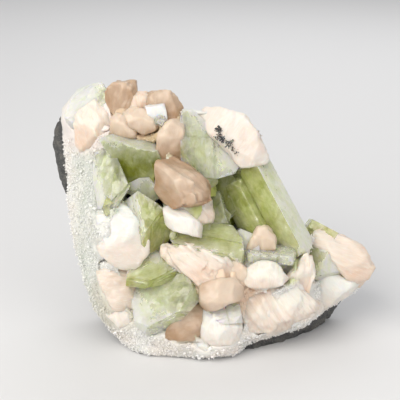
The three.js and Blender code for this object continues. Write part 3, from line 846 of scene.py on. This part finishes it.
def veils(nodes):
    """Thin, bright cracks and veils inside the clear crystals."""
    bodies = []
    for node in nodes:
        planes = apophyllite_planes(node)
        axes = crystal_axes(planes)
        rng = dice(node + " veils")
        inner = moved_out(planes, -0.5)
        local = corners(planes) @ axes.T
        low, high = local.min(0), local.max(0)
        for _ in range(int(4 + np.prod(high - low) / 250)):
            middle = (low + rng.uniform(0.15, 0.85, 3) * (high - low)) @ axes
            tilt = rng.normal(0, 0.35, 3)
            normal = unit(axes[2 if rng.random() < 0.5 else rng.integers(0, 2)] + tilt)
            u = unit(np.cross(normal, rng.normal(0, 1, 3)))
            v = np.cross(normal, u)
            sheet = [[*normal, normal @ middle + 0.05], [*-normal, 0.05 - normal @ middle]]
            for k in range(7):
                spoke = math.cos(k * 0.9) * u + math.sin(k * 0.9) * v
                sheet.append([*spoke, spoke @ middle + rng.uniform(0.5, 3.2)])
            bodies.append(solid_inside(np.vstack([inner, sheet])))
    piece = new_object("veils", *joined_bodies(whole(bodies, 5)))
    finish_piece(piece, "apophyllite_pale", material="veil", grown=places(piece)[0], sharp=0)


# ---------------------------------------------------------------- stilbites
# How each sheaf grows, as (across, up, out) of the bed: the way it grows, and what its broad face looks at.
SHEAVES = {
    "spire": ((0.12, 0.95, 0.1), (-0.25, -0.2, 0.95)),
    "spire_foot": ((0.0, 0.85, 0.45), (-0.2, 0.0, 1)),
    "top_shoulder": ((0.0, 0.85, 0.35), (0, -0.3, 1)),
    "top_pink": ((0.0, 0.95, 0.1), (0, 0, 1)),
    "top_arc": ((0.05, 0.95, 0.1), (0, 0, 1)),
    "peach_arc": ((0.03, 0.95, 0.3), (0.1, 0, 1)),
    "centre_blade": ((0.78, -0.42, 0.42), (0.42, 0.62, 0.66)),
    "centre_cream": ((0.6, -0.25, 0.6), (0.2, 0.7, 0.7)),
    "white_lens": ((0.72, -0.45, 0.5), (0.3, 0.6, 0.7)),
    "upper_left_mass": ((-0.1, 0.3, 0.85), (-0.3, 0.9, -0.3)),
    "left_white": ((0.25, -0.05, 0.9), (1, 0, 0)),
    "centre_fan": ((0.75, -0.45, 0.45), (-0.1, 0.3, 0.93)),
    "centre_fan_left": ((-0.1, 0.2, 0.9), (0.8, 0, 0)),
    "centre_fan_foot": ((0.6, 0.0, 0.6), (0, -0.6, 0.7)),
    "small_peach_blade": ((0.0, 0.9, 0.35), (0, 0, 1)),
    "front_sheaf": ((0.62, -0.7, 0.3), (0.25, 0.25, 0.93)),
    "front_cap": ((0.0, 0.85, 0.45), (0, -0.5, 0.85)),
    "right_ribbed": ((0.05, 0.9, 0.3), (0.1, 0, 1)),
    "right_white": ((0.05, 0.1, 0.95), (-0.5, 0.87, 0)),
    "right_tip": ((0.85, -0.25, 0.4), (-0.3, 0.2, 0.93)),
    "white_ball": ((0.0, 0.1, 0.95), (0, 1, 0)),
    "brown_foot": ((0.0, 0.1, 0.95), (0.8, 0, 0.1)),
    "lower_left": ((-0.05, 0.1, 0.93), (1, 0, 0)),
    "corner_wedge": ((0.0, 0.15, 0.93), (-0.35, 0.9, 0)),
    "foot_bud": ((0.1, 0.2, 0.93), (1, 0, 0)),
    "upper_right": ((0.5, 0.7, 0.4), (-0.2, -0.3, 0.93)),
    "small_triangle": ((0.0, 0.9, 0.35), (0, 0, 1)),
}


FAN = 0.2  # how much wider a sheaf gets for each millimetre it grows, at least
BLADE = 1.6  # how wide a sheaf's blades are, in mm


def fan_of(planes, axes):
    """The sheaf's lowest and highest place along its axes, and the point that its blades spread from."""
    local = corners(planes) @ axes.T
    low, high = local.min(0), local.max(0)
    length = high[2] - low[2]
    foot_half = np.ptp(local[local[:, 2] < low[2] + 0.25 * length, 0]) / 2
    top_half = (high[0] - low[0]) / 2
    fan = max(FAN, (top_half - foot_half) / length)
    return low, high, np.array([(low[0] + high[0]) / 2, 0, high[2] - top_half / fan])


def blades(planes, axes, name):
    """The sheaf cut into plates that fan out from its root, side by side and one behind the other, each with
    its own height, thickness, tilt and tip."""
    rng = dice(name)
    side, flat, growth = axes
    centre = corners(planes).mean(0)
    low, high, point = fan_of(planes, axes)
    length = high[2] - low[2]
    top_half = (high[0] - low[0]) / 2
    apex = point @ axes
    spread = top_half / (high[2] - point[2])
    bodies = []
    layers = max(1, int(round((high[1] - low[1]) / 4.5)))
    for layer in range(layers):
        count = max(4, int(round(2 * top_half / BLADE)))
        shares = np.linspace(-1.08, 1.08, count + 1) + rng.uniform(-0.5, 0.5, count + 1) / count
        behind = abs(2 * (layer + 0.5) / layers - 1)
        phase = rng.uniform(0, 6)
        slab = []
        if layers > 1:
            step = (high[1] - low[1]) / layers
            start = low[1] + layer * step
            slab = [[*flat, start + step + 0.6], [*-flat, 0.6 - start]]
        for start, end in zip(shares[:-1], shares[1:]):
            cuts = list(slab)
            for sign, slope in ((-1, start * spread - 0.003), (1, end * spread + 0.003)):
                normal = unit(sign * (side - slope * growth))
                cuts.append([*normal, normal @ apex])
            middle = (start + end) / 2
            lower = 0.02 + 0.03 * math.sin(4 * middle + phase) + 0.06 * behind + 0.05 * rng.random() ** 2
            lower += 0.04 * middle ** 2
            change = np.array([-max(0, p[:3] @ growth) * length * lower for p in planes])
            change -= np.abs(planes[:, :3] @ flat) * rng.uniform(-0.3, 0.8, len(planes))
            blade = []
            for *normal, distance in moved_out(planes, change):
                tilted = unit(np.array(normal) + rng.normal(0, 0.03, 3))
                blade.append([*tilted, tilted @ centre + distance - np.array(normal) @ centre])
            blade = np.array(blade)
            tip = math.radians(rng.uniform(10, 30))
            for sign in (1, -1):
                slanted = sign * math.sin(tip) * flat + math.cos(tip) * growth
                normal = unit(slanted + rng.uniform(-0.15, 0.15) * side)
                reach = (corners(blade) @ normal).max()
                cuts.append([*normal, reach - rng.uniform(0.1, 0.9)])
            bodies.append(solid_inside(np.vstack([blade, cuts])))
    return whole(bodies)


# How much deeper coloured than the rest some of the sheaves are, and below 0 how much paler.
DEEPER = {
    "centre_blade": 0.38, "brown_foot": 0.5, "spire": 0.75, "top_arc": 0.5, "peach_arc": 0.15,
    "top_pink": 1.6, "lower_left": 0.75, "corner_wedge": 0.8, "upper_right": 0.7, "front_cap": -0.15,
    "right_ribbed": -0.2, "right_tip": 0.3, "small_triangle": -0.2, "centre_cream": 0.5, "white_ball": 0.3,
    "white_lens": 0.2, "centre_fan_left": 0.3, "centre_fan_foot": -0.3, "small_peach_blade": -0.15,
}
# Sheaves grown so closely that no single blades show, only a few broad planes.
SMOOTH_LUMPS = (
    "white_ball", "left_white", "upper_left_mass", "corner_wedge", "right_white", "upper_right",
    "front_sheaf", "front_cap", "centre_fan_foot", "lower_left", "brown_foot", "right_tip",
    "top_shoulder", "spire_foot", "peach_arc", "top_arc", "white_lens", "small_peach_blade",
)
# How far in front of the CAD's bodies some sheaves reach, in mm.
FORWARD = {
    "white_lens": 2.5, "left_white": 1.5, "centre_blade": 1.0, "front_sheaf": 1.5, "upper_right": 5.0,
    "right_white": 2.5, "lower_left": 1.5, "centre_fan": 3.0,
}
# How wide and how deep the ribs of some sheaves are, in mm, and those of the rest.
RIBBED = {
    "front_sheaf": (1.8, 0.8), "right_tip": (1.8, 0.5), "lower_left": (1.6, 0.3), "centre_fan": (1.2, 0.3),
    "upper_left_mass": (2.0, 0.3), "front_cap": (1.4, 0.2), "centre_blade": (1.3, 0.2),
    "left_white": (2.4, 0.3),
}
PLAIN_RIBS = (0.9, 0.14)
VOXEL = {True: 0.62, False: 0.52}  # the cells that a sheaf's skin is made of: a smooth one's and the others'


def soft_masses(planes, name):
    """The sheaf's body a few times over, each with other sides and corners taken off."""
    rng = dice(name + " masses")
    bodies = []
    for turn in range(4):
        cut = broken_corners(moved_out(planes, -rng.uniform(0, 0.9, len(planes))), name + str(turn), 5)
        for _ in range(3):
            normal = unit(OUT + rng.normal(0, 0.55, 3))
            cut = np.vstack([cut, [[*normal, (corners(cut) @ normal).max() - rng.uniform(0.4, 2.2)]]])
        bodies.append(solid_inside(cut))
    return whole(bodies)


# the root colour is partly painted shade where a sheaf meets the crust
ROOT_BELOW = 11.0  # how far below its top a sheaf has the colour of its root, in mm
# Places where the sheaves turn deeper coloured, as (across, up, reach).
BLUSHES = ((-4, 26, 6), (-42, 34, 7), (22, 83, 8), (-62, 86, 8), (24, 20, 6))


def store_height(piece, deeper=0.0):
    """0 at the crust and 1 at a piece's top, out of the bed and up it, less where it is deeper in colour. Low
    values take the root colour, which is partly painted shade near the crust.
    """
    points = places(piece)[0]
    level = points @ OUT + 0.5 * (points @ UP)
    height = 1 - (level.max() - level) / min(np.ptp(level), ROOT_BELOW) - deeper
    for across, up, reach in BLUSHES:
        height -= np.exp(-(((points @ ACROSS - across) / reach) ** 2) - ((points @ UP - up) / reach) ** 2)
    store(piece, "height", height)


@functools.lru_cache(None)
def stilbite_planes(node, past=0.8, proud=0.4):
    """The outside of a sheaf: swollen, cut a little past its outline, and rounded off towards it."""
    name = bare(node)
    planes = np.vstack([swollen(node), moved_out(walls(name), past)])
    planes = needed(moved_out(planes, proud + FORWARD.get(name, 0) * clamped(planes[:, :3] @ OUT)))
    top = (corners(planes) @ OUT).max()
    middle = np.reshape(OUTLINES[name], (-1, 2)).mean(0) @ SLAB[:2]
    rounded = []
    for *normal, distance in walls(name):
        half = distance - np.array(normal) @ middle
        for tilt, inset in ((0.3, 0.25), (1.0, 0.05)):
            level = math.sin(tilt) * (distance - inset * half) + math.cos(tilt) * top
            rounded.append([*(math.sin(tilt) * np.array(normal) + math.cos(tilt) * OUT), level])
    return needed(np.vstack([planes, rounded]))


def stilbite(node):
    name = bare(node)
    growth, flat = (slab_direction(*d) for d in SHEAVES[name])
    flat = unit(flat - growth * (flat @ growth))
    axes = np.stack([np.cross(flat, growth), flat, growth])
    planes = stilbite_planes(node)
    smooth = name in SMOOTH_LUMPS
    bodies = soft_masses(planes, name) if smooth else blades(planes, axes, name)
    piece = new_object(name + "_sheaf", *joined_bodies(bodies))
    remesh(piece, VOXEL[smooth], 2)
    points, normals = places(piece)
    local = points @ axes.T - fan_of(planes, axes)[2]
    reach, turn = np.hypot(local[:, 0], local[:, 2]), np.arctan2(local[:, 0], local[:, 2])
    local = np.stack([turn * reach.mean(), local[:, 1], reach], 1)
    width, depth = RIBBED.get(name, PLAIN_RIBS)
    striae = lumps(local * np.array([1.0, 0.45, 0.06]), width, 3, 3)
    points += normals * (depth * striae + 0.2 * lumps(points, 3.0, 3, 9))[:, None]
    points += 0.8 * np.stack([lumps(points, 8.0, 2, 20 + 7 * k) for k in range(3)], 1)
    put_places(piece, points)
    store_height(piece, DEEPER.get(name, 0))
    finish_piece(piece, SLOT_OF[node], node, grown=local)


# ---------------------------------------------------------------- crust and basalt
def node_object(name, node, shifts=((0, 0, 0),)):
    """A node's triangles as one piece, repeated at each shift."""
    bodies = [loose_triangles(node_triangles(node) + np.array(shift)) for shift in shifts]
    piece = new_object(name, *joined_bodies(bodies))
    with edited(piece) as work:
        bmesh.ops.remove_doubles(work, verts=work.verts, dist=0.001 * MM)
    return piece


def inside_any(points, solids, margin):
    """Which points lie inside any of the convex solids, made larger by a margin."""
    found = np.zeros(len(points), bool)
    for planes in solids:
        found |= (points @ planes[:, :3].T <= planes[:, 3] + margin).all(1)
    return found


def crystal_tops(across, up, solids):
    """How far out the crystals reach over each place on the bed; -inf where there is none."""
    lines = across[:, None] * ACROSS + up[:, None] * UP
    tops = np.full(len(lines), -np.inf)
    for planes in solids:
        slope = planes[:, :3] @ OUT
        room = planes[:, 3] - lines @ planes[:, :3].T
        front, rear, side = slope > 1e-6, slope < -1e-6, np.abs(slope) <= 1e-6
        upper = (room[:, front] / slope[front]).min(1)
        hit = (upper > (room[:, rear] / slope[rear]).max(1)) & (room[:, side] > 0).all(1)
        tops = np.where(hit, np.maximum(tops, upper), tops)
    return tops


# The maps over the bed: how far apart their places are, in mm, where they start and how many they have.
MAP_STEP = 1.5
MAP_LOW = np.array([-90.0, -24.0])
MAP_SIZE = (120, 106)
MAP_REACH = 3  # how many steps away a crystal still draws the ground up


def crystal_level(solids, green):
    """Maps over the bed, as (across, up): how far out the crystals nearby reach, what share of it they cover,
    and where the green ones are."""
    across, up = (MAP_LOW[k] + MAP_STEP * np.arange(MAP_SIZE[k]) for k in (0, 1))
    grid = [g.ravel() for g in np.meshgrid(across, up, indexing="ij")]
    tops, green_tops = (crystal_tops(*grid, s).reshape(MAP_SIZE) for s in (solids, green))
    cover = np.isfinite(tops).astype(float)
    level = np.where(cover > 0, tops, 0)
    shifts = range(-MAP_REACH, MAP_REACH + 1)
    for axis in (0, 1):
        level, cover = (sum(np.roll(m, k, axis) for k in shifts) for m in (level, cover))
    return level / np.maximum(cover, 1), cover / len(shifts) ** 2, np.isfinite(green_tops).astype(float)


def looked_up(values, across, up):
    """What a map says at places on the bed."""
    place = (np.stack([across, up], 1) - MAP_LOW) / MAP_STEP
    corner = np.clip(np.floor(place).astype(int), 0, np.array(MAP_SIZE) - 2)
    a, b = (place - corner).T
    i, j = corner.T
    near = (1 - a) * values[i, j] + a * values[i + 1, j]
    far = (1 - a) * values[i, j + 1] + a * values[i + 1, j + 1]
    return (1 - b) * near + b * far


# Where the bed stands higher than the crystals alone would draw it: as (across, up), its reach, and how high.
MOUNDS = (
    ((-55, 50), (8, 15), 5), ((34, 29), (8, 5), 7), ((-47, 60), (5, 5), 6), ((-41, 63.5), (4, 4), 9),
    ((-25, 86), (4, 6), 6),
)


def crust(solids, green, fill=0.92, steepest=18, lowest=0.6):
    """The drusy bed, drawn up between the crystals that stand in it."""
    piece = node_object("drusy_crust", "druse_crust", [-depth * OUT for depth in (0, 1.2, 2.4)])
    remesh(piece, 0.85, 1)
    points, normals = places(piece)
    across, up = points @ ACROSS, points @ UP
    level, cover, see_through = (looked_up(m, across, up) for m in crystal_level(solids, green))
    rise = (fill - 0.3 * see_through) * clamped(2.2 * cover) * np.maximum(level - points @ OUT - 1, 0)
    for middle, reach, height in MOUNDS:
        far = ((across - middle[0]) / reach[0]) ** 2 + ((up - middle[1]) / reach[1]) ** 2
        rise += height * np.exp(-far)
    rise *= 1 + 0.15 * lumps(points, 6, 2, 12)
    points += (np.minimum(rise, steepest) * clamped(normals @ OUT))[:, None] * OUT
    near, second, own = cells(points, 2.0, 5)
    druse = ((second - near) * 0.5 + 0.5 * (own - 0.5)) * np.clip((across + 58) / 20, 0.25, 1)
    uneven = 0.15 + 0.6 * lumps(points, 14, 3, 1) + 0.2 * lumps(points, 2.5, 3, 5)
    points += normals * (uneven + 0.4 * druse)[:, None]
    # the rim draws in where bare basalt shows: low on the right, and high on the left
    facing_down = np.clip(-normals @ UP - 0.2, 0, 0.5) * 2
    points += (1.5 * facing_down * clamped((across - 8) / 10))[:, None] * UP
    facing_left = np.clip(-normals @ ACROSS - 0.3, 0, 0.5) * 2
    facing_left *= clamped((up - 62) / 6) * clamped((100 - up) / 6)
    points += (2.0 * facing_left)[:, None] * ACROSS
    points[:, 2] = np.maximum(points[:, 2], lowest)
    put_places(piece, points)
    return finish_piece(piece, "druse", "druse_crust")


def turned(rng, count):
    """Random turns, as a stack of matrices."""
    q = rng.normal(0, 1, (count, 4))
    w, x, y, z = (q / np.linalg.norm(q, axis=1)[:, None]).T
    rows = [
        [1 - 2 * (y * y + z * z), 2 * (x * y - w * z), 2 * (x * z + w * y)],
        [2 * (x * y + w * z), 1 - 2 * (x * x + z * z), 2 * (y * z - w * x)],
        [2 * (x * z - w * y), 2 * (y * z + w * x), 1 - 2 * (x * x + y * y)],
    ]
    return np.moveaxis(np.array(rows), 2, 0)


GRAIN_CORNERS = np.array([
    [1, 1, 0.675], [-1, 1, 0.6], [-1, -1, 0.75], [1, -1, 0.6], [0, 0, 1.125], [0, 0, -0.975],
])
GRAIN_FACES = np.array([
    [0, 1, 4], [1, 2, 4], [2, 3, 4], [3, 0, 4], [1, 0, 5], [2, 1, 5], [3, 2, 5], [0, 3, 5],
])


def grains(name, spots, sizes, rng, slot, material=None):
    """Tiny crystals, all joined in one mesh, at the spots."""
    stretch = rng.uniform(0.6, 1.3, (len(spots), 1, 3))
    points = GRAIN_CORNERS[None] * stretch * sizes[:, None, None] / 2
    points = np.einsum("nij,nkj->nki", turned(rng, len(spots)), points) + spots[:, None, :]
    faces = GRAIN_FACES[None] + len(GRAIN_CORNERS) * np.arange(len(spots))[:, None, None]
    piece = new_object(name, points.reshape(-1, 3), faces.reshape(-1, 3).tolist())
    finish_piece(piece, slot, material=material, sharp=0)


def druse_grains(base, crystals, count=7000, grey=0.12, large=0.12):
    """Grains over the open crust: dense on its rims, with a share of grey-green and a share of large ones."""
    rng = dice("druse")
    points, normals = places(base)
    across, up = points @ ACROSS, points @ UP
    rim = clamped((14 - up) / 8) + clamped((across - 30) / 10) * clamped((30 - up) / 12)
    keep = (normals @ OUT > -0.3) & ~inside_any(points, crystals, 0.3)
    chance = keep * (0.03 * np.clip((across + 60) / 15, 0.05, 1) + clamped(rim)) * (up < 92)
    chosen = rng.choice(len(points), count, replace=False, p=chance / chance.sum())
    spots = points[chosen] + rng.normal(0, 0.3, (count, 3)) + 0.1 * normals[chosen]
    sizes = rng.uniform(0.4, 0.9, count) * (1 + 0.7 * (rng.random(count) < large))
    green = rng.random(count) < grey
    spots[:, 2] = np.maximum(spots[:, 2], 1.2)
    grains("white_grains", spots[~green], sizes[~green], rng, "druse", "grain_white")
    grains("grey_grains", spots[green], 0.8 * sizes[green], rng, "druse", "grain_grey")


def small_crystals(base, solids):
    """Small apophyllites on the bed, near the big green crystals."""
    rng = dice("small crystals")
    points, normals = places(base)
    across, up = points @ ACROSS, points @ UP
    nodes = list(solids)
    keep = (across > -50) & (across < 50) & (up > 14) & (normals @ OUT > 0.35)
    keep &= up < 96 - 1.2 * np.clip(across, 0, 60)
    keep &= ((across < 18) | (up < 75)) & ((across > -10) | (up < 80))
    keep &= ~inside_any(points, solids.values(), 0.2)
    candidates = points[keep][rng.permutation(keep.sum())]
    far = np.stack([(candidates @ p[:, :3].T - p[:, 3]).max(1) for p in solids.values()])
    placed, bodies = np.empty((0, 3)), []
    for i, spot in enumerate(candidates):
        if len(placed) and np.linalg.norm(placed - spot, axis=1).min() < 3.0:
            continue
        placed = np.vstack([placed, spot])
        if not nodes[int(far[:, i].argmin())].startswith("apophyllite"):
            continue
        growth = unit(OUT + rng.normal(0, 0.35, 3))
        side = unit(np.cross(growth, rng.normal(0, 1, 3)))
        flat = np.cross(growth, side)
        half = rng.uniform(1.2, 3.0, 2)
        height = rng.uniform(1.5, 4.0)
        reach = 0.62 * half.sum() + 0.5 * height - rng.uniform(0.3, 0.9)
        body = [[*(s * d), s * d @ spot + h] for s in (1, -1) for d, h in ((side, half[0]), (flat, half[1]))]
        body += [[*growth, growth @ spot + height], [*-growth, 2 - growth @ spot]]
        for a, b in itertools.product((1, -1), (1, -1)):
            normal = unit(0.615 * (a * side + b * flat) + 0.494 * growth)
            body.append([*normal, normal @ spot + reach])
        bodies.append(solid_inside(np.array(body)))
    piece = new_object("small_apophyllites", *joined_bodies(whole(bodies, 5)))
    bevel(piece, 0.12)
    store(piece, "frost", np.full(len(piece.data.vertices), 0.2))
    finish_piece(piece, "apophyllite_mid", sharp=30)


# Where the dark specks lie, from (across, up) to (across, up), and in how many clumps.
SPECK_TRAILS = (((2.2, 94.8), (2.9, 89.6), 9), ((3.8, 89.4), (9.3, 87.0), 8), ((7.5, 86.0), (9.8, 82.5), 4))


def dark_specks(solids):
    """Trails of dark specks where the upper block meets the white mass beside it."""
    rng = dice("specks")
    spots = []
    for start, end, clumps in SPECK_TRAILS:
        for share in rng.random(clumps):
            middle = np.array(start) + share * (np.array(end) - start) + rng.normal(0, 0.7, 2)
            spots.extend(middle + rng.normal(0, 0.55, (12, 2)))
    spots = np.array(spots)
    level = crystal_tops(*spots.T, solids) + 0.35
    spots = np.column_stack([spots, level])[np.isfinite(level)] @ SLAB
    grains("dark_specks", spots, rng.uniform(0.25, 0.75, len(spots)), rng, "basalt")


def basalt():
    """The matrix: rough and pitted, hanging a little lower where it shows under the rim on the right."""
    piece = node_object("basalt", "basalt_matrix")
    remesh(piece, 1.2, 1)
    points, normals = places(piece)
    across = points @ ACROSS
    hanging = clamped(-normals @ UP) * clamped((across - 8) / 12) * clamped((74 - across) / 12)
    points -= (4.0 * hanging)[:, None] * UP
    rough = 0.9 * lumps(points, 12, 4, 2) + 0.6 * lumps(points, 2.5, 4, 7)
    for size, share, depth in ((3.6, 0.5, 5.0), (8.0, 0.65, 9.0)):
        near, _, own = cells(points, size, 3)
        rough -= clamped(0.42 - near) * (own > share) * depth
    points += normals * rough[:, None]
    points[:, 2] = np.maximum(points[:, 2], 0.0)
    put_places(piece, points)
    finish_piece(piece, "basalt", "basalt_matrix")


# ---------------------------------------------------------------- the specimen
green_nodes, sheaf_nodes = (
    [n for n in sorted(frame["nodes"]) if n.startswith(kind)] for kind in ("apophyllite_", "stilbite_")
)
for node in green_nodes:
    apophyllite(node)
for node in sheaf_nodes:
    stilbite(node)
milky_roots([n for n in green_nodes if SLOT_OF[n] != "apophyllite_olive"])
veils(green_nodes)
solids = {n: apophyllite_planes(n) for n in green_nodes} | {n: stilbite_planes(n) for n in sheaf_nodes}
bed = crust(list(solids.values()), [solids[n] for n in green_nodes])
small_crystals(bed, solids)
druse_grains(bed, solids.values())
dark_specks([solids["apophyllite_upper_block"], solids["stilbite_upper_right"]])
basalt()
for node in ("white_crystal", "clear_grain"):
    small_planes = outer_planes(node)
    small = new_object(node + "_piece", *solid_inside(small_planes))
    bevel(small, 0.2)
    divide_long_edges(small, 1.0)
    store_frost(small, node, small_planes)
    store_height(small)
    finish_piece(small, node, node, grown=places(small)[0], sharp=30)


# ---------------------------------------------------------------- floor, light and camera
def floor(half=1500):
    places_on = [(-half, -half, 0), (half, -half, 0), (half, half, 0), (-half, half, 0)]
    ground = new_object("floor", places_on, [(0, 1, 2, 3)])
    s = Shader("floor")
    ground.data.materials.append(s.principled({"Base Color": (0.72, 0.72, 0.73), "Roughness": 0.8}))


LIT = (0.0, 0.0, 0.06)  # what the lights point at, in metres


def area_light(name, place, size, power, colour=(1, 1, 1)):
    light = bpy.data.lights.new(name, "AREA")
    light.shape = "RECTANGLE"
    light.size, light.size_y = size
    light.energy = power
    light.color = colour
    lamp = link(name, light)
    lamp.location = place
    lamp.rotation_euler = (Vector(LIT) - Vector(place)).to_track_quat("-Z", "Y").to_euler()


def studio():
    area_light("key", (-0.45, -0.6, 0.7), (0.9, 0.7), 8.6, (1, 0.97, 0.91))
    area_light("fill", (0.7, -0.6, 0.4), (0.9, 0.8), 2.2)
    area_light("back", (0.2, 0.7, 0.6), (0.9, 0.6), 2.5)
    world = bpy.data.worlds.new("studio")
    world.use_nodes = True
    background = world.node_tree.nodes["Background"].inputs
    background["Color"].default_value = (0.9, 0.9, 0.9, 1)
    background["Strength"].default_value = 0.55
    bpy.context.scene.world = world
    bpy.context.scene.view_settings.view_transform = "Standard"


CAMERA_TARGET = np.array([-6.25, -8.45, 68.3])
CAMERA_DISTANCE = 524
CAMERA_ELEVATION = math.radians(20)


def camera():
    view = np.array([0, math.cos(CAMERA_ELEVATION), -math.sin(CAMERA_ELEVATION)])
    lens = bpy.data.cameras.new("camera")
    lens.lens = 100
    lens.sensor_width = 36
    lens.clip_start = 0.01
    seat = link("camera", lens)
    seat.location = (CAMERA_TARGET - CAMERA_DISTANCE * view) * MM
    seat.rotation_euler = (math.pi / 2 - CAMERA_ELEVATION, 0, 0)
    bpy.context.scene.camera = seat


floor()
studio()
camera()

bpy.context.view_layer.update()
